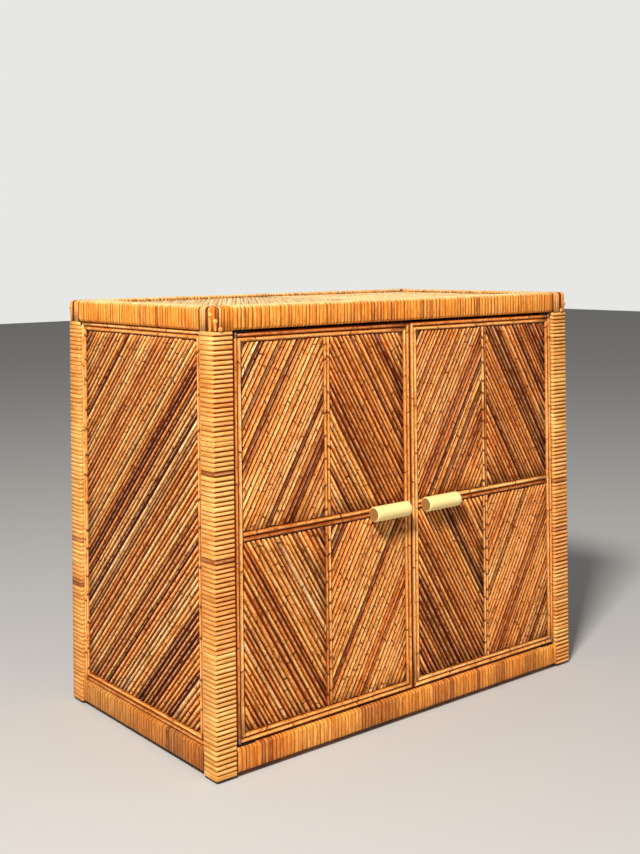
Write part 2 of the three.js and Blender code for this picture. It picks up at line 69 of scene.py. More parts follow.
# Shares of cream, straw, honey, toast, plum and umber reeds in each mix, and how dark its seams are
REED_MIXES = {
    # The top's pale tones and faint seams are partly bleach and partly painted light from above
    "top": (8, 2.4, 0.3, 0, 0, 0, 0.08),
    "side": (1.9, 4.0, 2.4, 1.1, 1.3, 2.3, 1.0),
    "light": (0.9, 4, 3.8, 1.4, 0.7, 1.0, 0.75),
    "even": (0.5, 3.0, 3.8, 2.1, 1.0, 1.5, 0.95),
    "vivid": (1.5, 4.8, 3.2, 1.0, 0.7, 1.5, 0.9),
    "warm": (0.4, 2.0, 3.6, 2.6, 1.4, 2.0, 1.0),
    "deep": (0.2, 2.0, 3.6, 2.6, 1.2, 2.0, 1.0),
    "rich": (0.2, 1.6, 4.2, 2.6, 1, 1.4, 1.0),
    "gold": (0, 4, 5, 0.6, 0, 0, 0.8),
    "tan": (0, 2, 4, 2, 0.4, 0, 0.8),
    "orange": (0, 0, 1, 3, 0, 0, 0.8),
    # Brown is a painted shade on the beads that the case shades
    "brown": (0, 0, 0, 1, 1, 0, 0.8),
    "rust": (0, 0, 0, 0, 1, 0.7, 0.8),
}
# The mixes of the left and the right field
DOOR_MIXES = {
    ("left", "upper"): ("light", "warm"), ("left", "lower"): ("vivid", "light"),
    ("right", "upper"): ("rich", "deep"), ("right", "lower"): ("deep", "even"),
}
# Common tone, share of burnt turns, share of amber, share of faint seams, darkness of the other seams, strength
# of brown patches, and what age and painted shade near the floor multiply the tone by
WINDING_MIXES = {
    "post": ("winding", 0.03, 0.45, 0.1, 0.85, 0, 1),
    "top": ("peel", 0.04, 0.5, 0.5, 0.85, 0, 1),
    "top side": ("peel", 0.04, 0.5, 0.7, 0.85, 0, 1),
    "bottom": ("peel", 0.05, 0.85, 0.85, 0.5, 0.5, (0.86, 0.92, 1.12)),
    "bottom side": ("peel", 0.05, 0.85, 0.85, 0.5, 0.5, (0.58, 0.64, 0.85)),
}
# What each cane finish sets on the cane group, and the strength of its bump
CANE_AMOUNTS = ("Streaks", "Patches", "Specks", "Groove", "Cloud", "Rub", "Under")
CANE_FINISHES = {
    "Post winding": (0.9, 0.35, 0.25, 0.29, 0.7, 1.0, 0.3, 0.4),
    "Rail winding": (1.1, 0.5, 0.3, 0.36, 0.6, 0.8, 0, 0.4),
    "Corner strips": (0.8, 0.4, 0.3, 0.36, 0.2, 0.1, 0, 0.4),
    "Top reeds": (0.45, 0.3, 0.4, 0.38, 0.3, 0.2, 0, 0.4),
    "Side reeds": (1.5, 0.6, 0.9, 0, 0.7, 0.85, 0, 0.5),
    "Door reeds": (1.5, 0.6, 0.8, 0, 0.7, 0.8, 0, 0.5),
    "Moulding": (1.2, 0.6, 0.6, 0.1, 0.6, 0.6, 0, 0.4),
}
# Colour, roughness and metallic share
FITTING_FINISHES = {
    "Plated steel": ("steel", 0.28, 1.0),
    "Tarnished steel": ("shaded_steel", 0.5, 1.0),
    "Satin plastic": ("plastic", 0.42, 0.0),
}
# The boards of each finish, whose grain runs along the axis given
BOARDS = {
    "Board level grain": (0, "floor_board", "top_board"),
    "Board upright grain": (
        2, "back_board", "left_door_board", "right_door_board", "left_side_board", "right_side_board"),
    "Board deep grain": (1, "left_shelf_cleat", "right_shelf_cleat"),
    "Core wood": (2,),
}
# Width and tone of each strip, from the side round to the front or rear on left corners, and the other way on
# right ones
STRIPS = (
    (2, "umber"), (6, "honey"), (5, "straw"), (4, "honey"), (6, "umber"), (5, "honey"), (4, "amber"),
    (5, "amber"), (6, "russet"), (4, "straw"), (6, "amber"), (4, "peel"), (5, "amber"), (5, "peel"),
)


def number(name, default, description, **options):
    """A number property with its name, default and description."""
    return bpy.props.FloatProperty(name=name, description=description, default=default, **options)


def millimetres(name, size, description):
    """A length property."""
    return number(name, size * MM, description, unit="LENGTH")


def degrees(name, size, description):
    """An angle property."""
    return number(name, math.radians(size), description, unit="ROTATION")


def colour(name, description, default):
    """A colour property with its name, description and default."""
    return bpy.props.FloatVectorProperty(
        name=name, description=description, default=default, subtype="COLOR", size=3, min=0, max=1)


class WindingSettings(bpy.types.PropertyGroup):
    """Sizes of the rattan wound round the posts and rails"""

    post_turn: millimetres("Post turn", 7.2, "Width of one turn on a post")
    post_crown: millimetres("Post crown", 2.6, "Height of a post's turn over its grooves")
    post_edge: millimetres("Post edge", 3.4, "Radius of a post's wound corner")
    side_relief: number("Side relief", 0.06, "Share of a post's crown left on its side faces", subtype="FACTOR",
                        min=0, max=1)
    rail_turn: millimetres("Rail turn", 7.3, "Width of one turn on a front or rear rail")
    side_turn: millimetres("Side rail turn", 8.2, "Width of one turn on a side rail")
    rail_crown: millimetres("Rail crown", 0.8, "Height of a rail's turn over its seams")
    rail_edge: millimetres("Rail edge", 5.0, "Radius of a rail's wound edges")


class ReedSettings(bpy.types.PropertyGroup):
    """Sizes of the reeds and half-round mouldings"""

    door_pitch: millimetres("Door reed", 7.6, "Width of a reed on the doors")
    side_pitch: millimetres("Side reed", 8.1, "Width of a reed on the sides")
    top_pitch: millimetres("Top reed", 7.6, "Width of a reed on the top")
    door_lie: degrees("Door lie", 59.3, "Angle of the door reeds from level")
    side_lie: degrees("Side lie", 45.5, "Angle of the side reeds from level")
    top_lie: degrees("Top lie", 55, "Angle of the top reeds from the front")
    node_step: millimetres("Node step", 105, "Mean distance between the nodes of a reed")
    bow: millimetres("Bow", 0.4, "How far a reed strays from a straight line")
    end_gap: millimetres("End gap", 2.2, "Most that a reed's end falls short of its edge")


class ColourSettings(bpy.types.PropertyGroup):
    """Colours of the cane, boards and fittings"""

    # Bleach is partly sun bleaching and partly painted light from above
    bleach: colour("Bleach", "Sun-bleached cane on the top", (0.9, 0.63, 0.285))
    cream: colour("Cream", "Near white reeds", (0.97, 0.64, 0.33))
    straw: colour("Straw", "Palest reeds", (0.97, 0.52, 0.19))
    honey: colour("Honey", "Golden reeds", (0.93, 0.4, 0.11))
    toast: colour("Toast", "Orange-brown reeds", (0.7, 0.23, 0.045))
    plum: colour("Plum", "Pinkish brown reeds", (0.46, 0.13, 0.025))
    umber: colour("Umber", "Dark brown reeds", (0.16, 0.03, 0.004))
    winding: colour("Winding", "Common colour of the posts", (0.95, 0.52, 0.155))
    peel: colour("Peel", "Common colour of the rails", (0.97, 0.365, 0.055))
    amber: colour("Amber", "Deeper turns of the winding", (0.8, 0.21, 0.022))
    russet: colour("Russet", "Darkest turns of the winding", (0.33, 0.085, 0.022))
    # The groove colour is partly stain and partly painted shade
    groove: colour("Groove", "Stain gathered in the grooves", (0.1, 0.016, 0.001))
    scar: colour("Scar", "Marks at the nodes", (0.12, 0.02, 0.002))
    pole: colour("Pole", "Skin of the handles", (0.94, 0.73, 0.29))
    pith: colour("Pith", "Cut ends of the handles", (0.3, 0.14, 0.036))
    board: colour("Board", "Stained plywood", (0.34, 0.16, 0.065))
    steel: colour("Steel", "Plated knuckles and pins", (0.3, 0.26, 0.22))
    # Dark as a painted shade, so that the gaps at the hinge leaves read dark
    shaded_steel: colour("Bronze", "Tarnished leaves and plates", (0.05, 0.038, 0.028))
    plastic: colour("Plastic", "Catch and glides", (0.035, 0.03, 0.027))
    floor: colour("Floor", "Pale floor", (0.5, 0.49, 0.475))


class StageSettings(bpy.types.PropertyGroup):
    """Light and camera"""

    key: number("Key", 300, "Power of the main lamp", unit="POWER")
    fill: number("Fill", 14, "Power of the lamp opposite", unit="POWER")
    ambient: number("Ambient", 0.22, "Strength of the even light", min=0)
    lens: number("Lens", 49.66, "Focal length of the camera in mm")


def rgba(tone, alpha=1):
    """A colour of the settings, with an alpha."""
    return (*getattr(bpy.context.scene.cabinet_colours, tone), alpha)


def random_for(name):
    """A random generator that gives the same numbers for the same name."""
    return np.random.default_rng(list(name.encode()))


def drift(rng, count, reach):
    """Random values that wander along a row: white noise summed under a bell curve of that reach."""
    steps = np.arange(-3 * reach, 3 * reach + 1)
    bell = np.exp(-0.5 * (steps / reach) ** 2)
    run = np.convolve(rng.normal(size=count + len(bell) - 1), bell, "valid")
    return run / np.sqrt((bell ** 2).sum())


def share_out(rng, length, pitch, spread):
    """Edges of the strands that fill a length: equal widths, each changed a little, scaled to fit."""
    count = max(1, round(length / pitch))
    widths = 1 + spread * np.clip(rng.normal(size=count), -2, 2)
    return np.concatenate([[0], np.cumsum(widths)]) * length / widths.sum()


def section(points, flatness=1.0):
    """Across and height, both 0 to 1, of a half-round: (1 - cos a) / 2, and sin a to the power of flatness."""
    turn = np.linspace(0, np.pi, points)
    return (1 - np.cos(turn)) / 2, np.maximum(np.sin(turn), 0) ** flatness


def reed_tints(rng, count, name):
    """Tints for reeds: the six colours of a mix in their shares, each with some of another, at random but for a
    slow drift that makes short runs of like tone. The top's palest reeds are bleached, and paler also as
    painted light from above."""
    *shares, seam = REED_MIXES[name]
    alone, alike, blended, lights, depths, brightest = 0.96, 0.28, 0.36, (0.86, 1.14), (0.65, 1), 0.95
    tones = ("bleach" if name == "top" else "cream", "straw", "honey", "toast", "plum", "umber")
    palette = np.array([rgba(tone)[:3] for tone in tones])
    edges = np.cumsum(shares[:-1]) / sum(shares)
    wander = alone * rng.normal(size=count) + alike * drift(rng, count, reach=2)
    rank = 0.5 * (1 + np.vectorize(math.erf)(wander / math.sqrt(2)))
    chosen = palette[np.searchsorted(edges, rank)]
    other = palette[np.searchsorted(edges, rng.uniform(size=count))]
    share = blended * rng.uniform(size=(count, 1))
    light = rng.uniform(*lights, (count, 1))
    tone = np.clip((chosen * (1 - share) + other * share) * light, 0, brightest)
    return np.hstack([tone, seam * rng.uniform(*depths, (count, 1))])


def winding_tints(rng, count, name):
    """Tints for turns of a winding: the common tone and amber in slow drift, rare burnt turns, faint and dark
    seams, and brown patches several turns wide."""
    common, burnt_share, contrast, faint, seam, patches, aged_and_shaded = WINDING_MIXES[name]
    common, amber, russet = (np.array(rgba(tone)[:3]) for tone in (common, "amber", "russet"))
    restless, least_patch, brightest = 0.6, 0.2, 0.95
    burns, faint_depths, lights = (0.4, 0.95), (0.1, 0.4), (0.9, 1.1)
    slow = 0.5 + 0.5 * np.tanh(drift(rng, count, reach=4) + restless * rng.normal(size=count))[:, None]
    tone = common * (1 - slow * contrast) + amber * slow * contrast
    burnt = (rng.uniform(size=(count, 1)) < burnt_share) * rng.uniform(*burns, (count, 1))
    tone = tone * (1 - burnt) + russet * burnt
    depth = np.where(rng.uniform(size=(count, 1)) < faint, rng.uniform(*faint_depths, (count, 1)), seam)
    tone = tone * rng.uniform(*lights, (count, 1))
    if patches:
        patch = patches * np.clip(drift(rng, count, reach=2)[:, None] - least_patch, 0, 1)
        tone = tone * (1 - patch) + russet * patch
    # Age multiplies the tone, and on the bottom rails painted shade near the floor does too
    return np.hstack([np.clip(tone * aged_and_shaded, 0, brightest), depth])


class Face:
    """A direction to look at the cabinet from: a point is p times right, q times up and h times out."""

    def __init__(self, right, up):
        self.right, self.up = np.array(right, float), np.array(up, float)
        self.out = np.cross(self.right, self.up)

    def place(self, p, q, h):
        """Points of the cabinet from their distances right, up and out."""
        p, q, h = np.broadcast_arrays(p, q, h)
        return p[..., None] * self.right + q[..., None] * self.up + h[..., None] * self.out

    def span(self, node):
        """Lowest and highest p, q and h of a CAD node."""
        box = np.array([list(corner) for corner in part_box(node)])
        seen = box @ np.stack([self.right, self.up, self.out], 1)
        return seen.min(0), seen.max(0)


FRONT = Face((1, 0, 0), (0, 0, 1))
BACK = Face((-1, 0, 0), (0, 0, 1))
TOP = Face((1, 0, 0), (0, 1, 0))
SIDE_FACE = {"left": Face((0, -1, 0), (0, 0, 1)), "right": Face((0, 1, 0), (0, 0, 1))}


class Piece:
    """The tubes of one visible piece of a CAD node, the node's box as seen from a face, and a random generator.
    A tube is a grid: stations along it, and section points round it."""

    def __init__(self, node, face=TOP):
        self.node, self.face, self.grids = node, face, []
        self.low, self.high = face.span(node)
        self.rise = self.high[2] - self.low[2]
        self.rng = random_for(node)

    def add(self, points, along=0.0, across=0.0, seed=0.0, node=0.0, tint=(1, 1, 1, 1), smooth=True,
            open_base=True, closed=False):
        """Adds tubes as an array of tubes by stations by section points by 3, with what their finish reads: a
        tint's fourth value is how dark its seams are. With open_base, the strip from the last section point to
        the first is a flat underside. A closed tube's last station joins its first, and has no ends."""
        shape = points.shape[:3]
        lay = np.stack([np.broadcast_to(value, shape) for value in (along, across, seed)], -1)
        marks = np.broadcast_to(node, shape), np.broadcast_to(tint, shape + (4,))
        self.grids.append((points, lay, *marks, smooth, open_base, closed))

    def mesh(self, name):
        """Makes the mesh: quads between neighbouring points, a flat face over each end, all facing out."""
        corners, sizes, smooth_faces, start = [], [], [], 0
        for points, _, _, _, smooth, open_base, closed in self.grids:
            tubes, stations, ring = points.shape[:3]
            ids = start + np.arange(tubes * stations * ring).reshape(tubes, stations, ring)
            start += ids.size
            caps = np.stack([ids[:, 0, ::-1], ids[:, -1]], 1)[:, :0 if closed else 2]
            inward = self.swelling(np.concatenate([points, points[:, :1]], 1) if closed else points) < 0
            ids = np.concatenate([ids, ids[:, :1]], 1) if closed else ids
            after = np.roll(ids, -1, 2)
            quads = np.stack([ids[:, :-1], after[:, :-1], after[:, 1:], ids[:, 1:]], -1)
            quads[inward] = quads[inward][..., ::-1]
            caps[inward] = caps[inward][..., ::-1]
            soft = np.full(quads.shape[:-1], smooth)
            if open_base:
                soft[..., -1] = False
            corners += [quads.ravel(), caps.ravel()]
            sizes += [np.full(quads.size // 4, 4), np.full(caps.size // ring, ring)]
            smooth_faces += [soft.ravel(), np.zeros(caps.size // ring, bool)]
        corners, sizes = np.concatenate(corners), np.concatenate(sizes)
        places, lay, node, tint = (np.concatenate([grid[k].ravel() for grid in self.grids]) for k in range(4))
        mesh = bpy.data.meshes.new(name)
        mesh.vertices.add(start)
        mesh.vertices.foreach_set("co", places.astype(np.float32))
        mesh.loops.add(len(corners))
        mesh.loops.foreach_set("vertex_index", corners.astype(np.int32))
        mesh.polygons.add(len(sizes))
        mesh.polygons.foreach_set("loop_start", np.concatenate([[0], np.cumsum(sizes)[:-1]]).astype(np.int32))
        mesh.polygons.foreach_set("use_smooth", np.concatenate(smooth_faces))
        mesh.update(calc_edges=True)
        mesh.attributes.new("lay", "FLOAT_VECTOR", "POINT").data.foreach_set("vector", lay)
        mesh.attributes.new("node", "FLOAT", "POINT").data.foreach_set("value", node)
        mesh.attributes.new("tint", "FLOAT_COLOR", "POINT").data.foreach_set("color", tint)
        return mesh

    @staticmethod
    def swelling(points):
        """Above zero where a tube's quads face out: the sum over quads of middle times normal, from its own
        middle."""
        after = np.roll(points, -1, 2)
        first = after[:, 1:] - points[:, :-1]
        second = points[:, 1:] - after[:, :-1]
        middle = (points[:, :-1] + after[:, :-1] + points[:, 1:] + after[:, 1:]) / 4
        middle = middle - points.mean((1, 2), keepdims=True)
        return (middle * np.cross(first, second)).sum((1, 2, 3))

    def dress(self, suffix, finish):
        """Makes the tubes an object that rides, is finished and is placed as the CAD node."""
        node, name = self.node, f"{self.node}_{suffix}"
        piece = bpy.data.objects.new(name, self.mesh(name))
        bpy.context.scene.collection.objects.link(piece)
        piece.data.materials.append(made(finish))
        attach(piece, BODY_OF[node])
        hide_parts(node)


def directions(lie):
    """The unit vectors along a lie and across it."""
    return np.array([math.cos(lie), math.sin(lie)]), np.array([-math.sin(lie), math.cos(lie)])


def lay_reeds(piece, lie, profile, offset, entry, leave, tint, node_step, bow, mark=1.0):
    """Adds straight reeds to a face. A point is t along the lie and a across it, and stands out by the rise
    times its section's height. Offset, entry and leave give, for each reed and section point, a and the t where
    it starts and ends. Nodes swell each reed by a few hundredths, a slow sine bows it, and mark multiplies how
    much its nodes show."""
    rng, (across, height), (direction, sideways) = piece.rng, profile, directions(lie)
    before, after, margin, nodeless = 3 * MM, 8 * MM, 4 * MM, 30 * MM
    wider, higher, lower, skewed = 0.05, 0.07, 0.07, 7 * MM
    step_shares, waves, jitter = (0.6, 1.5), (0.25, 0.6), 0.2
    length = (leave - entry).mean(1)
    total = len(length)
    step = node_step * rng.uniform(*step_shares, total)
    phase = rng.uniform(size=total)
    nodes = np.where(length > nodeless, np.floor(length / step + phase), 0).astype(int)
    seed = rng.uniform(size=total)
    wave, turn = rng.uniform(*waves, total), rng.uniform(0, 2 * np.pi, total)
    crown, slant = 1 - lower * rng.uniform(size=total), skewed * rng.uniform(-1, 1, total)
    for count in np.unique(nodes):
        mine = np.nonzero(nodes == count)[0]
        each = (mine, None, None)
        reach = length[mine, None]
        place = np.arange(count) + 1 - phase[mine, None] + rng.uniform(-jitter, jitter, (len(mine), count))
        at = place * step[mine, None]
        at = np.clip(at, before + margin, np.maximum(reach - after - margin, before + margin + MM))
        knots = np.stack([at - before, at, at + after], -1).reshape(len(mine), -1)
        ends = np.hstack([np.zeros_like(reach), knots, reach])
        between = (ends[:, 0::3] + ends[:, 1::3]) / 2
        stations = np.sort(np.hstack([ends, between]), 1) / reach
        swell = np.isin(stations, at / reach).astype(float)[..., None]
        share = stations[..., None]
        t = entry[mine, None] + (leave - entry)[mine, None] * share
        t = t + swell * slant[each] * (across - 0.5)
        stray = bow * np.sin(2 * np.pi * t / wave[each] + turn[each])
        middle = offset[mine].mean(1)[:, None, None]
        a = offset[mine, None] + stray * np.sin(np.pi * share)
        a = middle + (a - middle) * (1 + wider * swell)
        p, q = (a * sideways[k] + t * direction[k] for k in (0, 1))
        h = piece.low[2] + piece.rise * height * crown[each] * (1 + higher * swell)
        piece.add(piece.face.place(p, q, h), t, across, seed[each], mark * swell, tint[each])


def reed_field(piece, start, end, lie, pitch, mixed, flatness=1.0):
    """Fills a face from start to end with reeds at a lie: each section point's line is cut where it enters and
    leaves. Ends fall short by chance, at a slant, but less on short reeds. Flatness is the section's."""
    sizes, rng, (direction, sideways) = bpy.context.scene.cabinet_reeds, piece.rng, directions(lie)
    trim, shortest, short_reed = 0.4 * MM, 11 * MM, 8 * MM
    corners = np.array([[p, q] for p in (start, end) for q in (piece.low[1], piece.high[1])]) @ sideways
    edges = corners.min() + trim + share_out(rng, np.ptp(corners) - 2 * trim, pitch, spread=0.15)
    across, height = section(7, flatness)
    offset = edges[:-1, None] + np.diff(edges)[:, None] * across
    bounds = (start, piece.low[1]), (end, piece.high[1])
    cuts = np.stack([[(bound[k] - offset * sideways[k]) / direction[k] for bound in bounds] for k in (0, 1)])
    entry, leave = cuts.min(1).max(0), cuts.max(1).min(0)
    kept = (leave - entry).mean(1) > shortest
    offset, entry, leave = offset[kept], entry[kept], leave[kept]
    room = np.clip((leave - entry).min(1) / short_reed, 0, 1)[:, None, None]
    short, skew = rng.uniform(size=(2, len(offset), 2)) ** 2
    slant = (skew * np.sign(rng.normal(size=skew.shape)))[:, :, None] * (across - 0.5)
    gap = sizes.end_gap * room * np.maximum(short[:, :, None] + 0.5 * slant, 0)
    entry, leave = entry + gap[:, 0], leave - gap[:, 1]
    tint = reed_tints(rng, len(offset), mixed)
    lay_reeds(piece, lie, (across, height), offset, entry, leave, tint, sizes.node_step, sizes.bow)


def half_round(piece, level, insets, cuts, mixed, node_step, mark=1.0):
    """Adds one half-round from end to end of a face, level or upright. Insets are its two edges and the line
    that slants start from, and each of the two cuts is a slant per inset and a set distance."""
    k = 0 if level else 1
    profile = section(points=7)
    inset = insets[0] + (insets[1] - insets[0]) * profile[0]
    from_edge = np.abs(inset - insets[2])
    entry = piece.low[k] + cuts[0][0] * from_edge + cuts[0][1]
    leave = piece.high[k] - cuts[1][0] * from_edge - cuts[1][1]
    lie, offset = (0.0, inset) if level else (np.pi / 2, -inset)
    tint, bow = reed_tints(piece.rng, 1, mixed), 0.15 * MM
    lay_reeds(piece, lie, profile, offset[None], entry[None], leave[None], tint, node_step, bow, mark)


def rounded_corners(inner, start=0.0):
    """Angles round a rectangle's four rounded corners, three to each, and the two coordinates of the corner's
    middle for each angle. Inner is half the rectangle between those middles."""
    angle = start + np.radians([0, 45, 90])[None] + np.radians([0, 90, 180, 270])[:, None]
    middle = angle[:, 1:2]
    return np.broadcast_arrays(angle, np.sign(np.cos(middle)) * inner[0], np.sign(np.sin(middle)) * inner[1])


def wound_bar(piece, axis, step_side, pitch, crown, edge, spread, flatness, mixed, calm=1.0, bleach_and_painted_light=0.0):
    """One strand wound round a square bar. Each turn is level on three sides and climbs to the next on the
    fourth, whose outward angle is step_side. A point is a corner's middle plus the edge radius at the corner's
    angle. Calm is the share of the crown left on the step side and on the faces of the first axis after the
    bar's, where the square of the angle's cosine mixes it in; there the seams are fainter and the tone is
    darker as a painted shade. The last argument is the share of cane on the upper face of a level bar that is
    sun-bleached and paler as painted light from above, and of painted shade in the crease on its step side."""
    rng, p_axis, q_axis = piece.rng, (axis + 1) % 3, (axis + 2) % 3
    uneven, leaning, calm_seam, calm_painted_shade, bleached_lit_seam = 0.12, 0.22 * MM, 0.38, 0.95, 0.2
    calm_shade_curve, crease_shade_tone, crease_shade_range = np.array([1, 1.7, 2.8]), np.array([0.9, 0.97, 1]), (0.3, 1)
    calm_flatness, step_side_from = 0.4, 0.1
    middle, half = (piece.low + piece.high) / 2, (piece.high - piece.low) / 2
    edges = piece.low[axis] + share_out(rng, piece.high[axis] - piece.low[axis], pitch, spread)
    turns = len(edges) - 1
    corners = rounded_corners(half[[p_axis, q_axis]] - edge, step_side)
    angle, centre_p, centre_q = (values.ravel() for values in corners)
    beside = np.cos(angle - step_side) > step_side_from
    relief = (1 - (1 - calm) * np.maximum(np.cos(angle) ** 2, beside))[:, None]
    across, height = section(points=6)
    height = height ** (flatness * (calm_flatness + (1 - calm_flatness) * relief))
    lift = 1 - uneven * rng.uniform(size=turns)
    tilt = leaning * np.stack([drift(rng, turns, reach=3), drift(rng, turns, reach=3)])
    climb = tilt[0][:, None] * np.cos(angle) + tilt[1][:, None] * np.sin(angle)
    along = edges[:-1, None, None] + climb[..., None] + np.diff(edges)[:, None, None] * across
    radius = edge - crown * relief * (1 - lift[:, None, None] * height)
    points = np.empty(along.shape + (3,))
    points[..., axis] = along
    points[..., p_axis] = middle[p_axis] + centre_p[:, None] + radius * np.cos(angle)[:, None]
    points[..., q_axis] = middle[q_axis] + centre_q[:, None] + radius * np.sin(angle)[:, None]
    perimeter = 4 * (half[p_axis] + half[q_axis])
    run = perimeter * (np.arange(turns)[:, None] + np.linspace(0, 1, len(angle), endpoint=False))
    tint = np.repeat(winding_tints(rng, turns, mixed), len(angle), 0)
    raised = np.tile(relief[:, 0], turns)
    # On the calm faces the seams are fainter and the tone is darker, as a painted shade
    tint[:, 3] *= calm_seam + (1 - calm_seam) * raised
    tint[:, :3] *= (calm_painted_shade + (1 - calm_painted_shade) * raised)[:, None] ** calm_shade_curve
    # Upward faces of a top rail: sun-bleached, and paler as painted light from above, with fainter seams
    upward = np.tile(np.maximum(np.sin(angle) if q_axis == 2 else np.cos(angle), 0) ** 2, turns)[:, None]
    tint[:, :3] += bleach_and_painted_light * upward * (rgba("bleach")[:3] - tint[:, :3])
    tint[:, 3] *= 1 - (1 - bleached_lit_seam) * bleach_and_painted_light * upward[:, 0]
    # Painted shade in the crease on the step side, where a top rail stands over the reeds
    inward = np.tile(np.maximum(np.cos(angle - step_side), 0) ** 4, turns)
    stained = bleach_and_painted_light * inward * np.repeat(rng.uniform(*crease_shade_range, turns), len(angle))
    tint[:, :3] *= 1 - stained[:, None] * crease_shade_tone
    piece.add(points.reshape(1, -1, len(across), 3), run.reshape(1, -1, 1), across, rng.uniform(), 0.0,
              tint[None, :, None])


def eased_block(piece, low, high, ease, tint=(1, 1, 1, 1)):
    """A block with eased edges: rings of rounded corners whose radius and height follow a quarter circle."""
    bow = np.radians([-72, -45, -18, 0, 0, 18, 45, 72])
    radius = ease * np.cos(bow)
    level = np.repeat([low[2] + ease, high[2] - ease], 4) + ease * np.sin(bow) / math.sin(bow[-1])
    middle, inner = (low + high) / 2, (high - low) / 2 - ease
    angle, corner_x, corner_y = rounded_corners(inner)
    x = middle[0] + (corner_x + radius[:, None, None] * np.cos(angle))
    y = middle[1] + (corner_y + radius[:, None, None] * np.sin(angle))
    z = np.broadcast_to(level[:, None, None], x.shape)
    points = np.stack([x, y, z], -1).reshape(1, len(level), -1, 3)
    piece.add(points, tint=tint, smooth=False, open_base=False)


def turned(piece, centre, profile, sides, face=TOP, closed=False, **finish):
    """A turned shape: each pair of radius and height is carried round the centre, standing out from a face.
    With closed, the profile goes round a ring's section."""
    radius, height = np.array(profile, float).T[..., None]
    turn = np.linspace(0, 2 * np.pi, sides, endpoint=False)
    points = np.array(centre, float) + face.place(radius * np.cos(turn), radius * np.sin(turn), height)
    piece.add(points[None], open_base=False, closed=closed, **finish)


def put(tree, kind, inputs=(), **options):
    """Adds a shader node, sets its options, and joins or sets its inputs by name or number."""
    node = tree.nodes.new(kind)
    for option, value in options.items():
        setattr(node, option, value)
    for key, value in dict(inputs).items():
        if isinstance(value, bpy.types.NodeSocket):
            tree.links.new(value, node.inputs[key])
        else:
            node.inputs[key].default_value = value
    return node


def calc(tree, operation, first, second=0.0):
    """The result of a Math node."""
    return put(tree, "ShaderNodeMath", {0: first, 1: second}, operation=operation).outputs[0]


def sums(tree):
    """Functions that add, subtract and multiply in a tree."""
    kinds = ("ADD", "SUBTRACT", "MULTIPLY")
    return [lambda first, second, kind=kind: calc(tree, kind, first, second) for kind in kinds]


def mix(tree, factor, first, second, blend="MIX"):
    """The result of a colour mix."""
    inputs = {0: factor, 6: first, 7: second}
    return put(tree, "ShaderNodeMix", inputs, data_type="RGBA", blend_type=blend).outputs[2]


def ease_in(tree, value, low, high):
    """A smooth step from 0 at low to 1 at high."""
    inputs = {"Value": value, "From Min": low, "From Max": high}
    return put(tree, "ShaderNodeMapRange", inputs, interpolation_type="SMOOTHSTEP").outputs[0]


def noise(tree, vector, scale=1.0, detail=2.0, rough=0.5):
    """The value of a noise texture."""
    inputs = {"Vector": vector, "Scale": scale, "Detail": detail, "Roughness": rough}
    return put(tree, "ShaderNodeTexNoise", inputs).outputs[0]


def object_spot(tree):
    """The Object coordinates."""
    return put(tree, "ShaderNodeTexCoord").outputs["Object"]


def attribute(tree, name):
    """The outputs of the node that reads a piece's own attribute."""
    return put(tree, "ShaderNodeAttribute", attribute_name=name).outputs


def shaded(tree, tone, value):
    """A colour of the settings with its brightness multiplied by a value."""
    return put(tree, "ShaderNodeHueSaturation", {"Value": value, "Color": rgba(tone)}).outputs[0]


def new_group(name, inputs, outputs):
    """A shader node group with named sockets, and its input and output nodes."""
    group = bpy.data.node_groups.new(name, "ShaderNodeTree")
    for way, sockets in (("INPUT", inputs), ("OUTPUT", outputs)):
        for socket, kind in sockets.items():
            group.interface.new_socket(socket, in_out=way, socket_type=f"NodeSocket{kind}")
    return group, group.nodes.new("NodeGroupInput"), group.nodes.new("NodeGroupOutput")


def new_material(name):
    """An empty material, its shader tree, and functions that add, subtract and multiply there."""
    material = bpy.data.materials.new(name)
    material.use_nodes = True
    material.node_tree.nodes.clear()
    return material, material.node_tree, *sums(material.node_tree)


def principled(tree, inputs, bump=None):
    """Ends a tree in one Principled shader. Bump is a height, a strength and a distance."""
    if bump:
        bumped = put(tree, "ShaderNodeBump", dict(zip(("Height", "Strength", "Distance"), bump)))
        inputs = inputs | {"Normal": bumped.outputs[0]}
    surface = put(tree, "ShaderNodeBsdfPrincipled", inputs)
    put(tree, "ShaderNodeOutputMaterial", {"Surface": surface.outputs[0]})


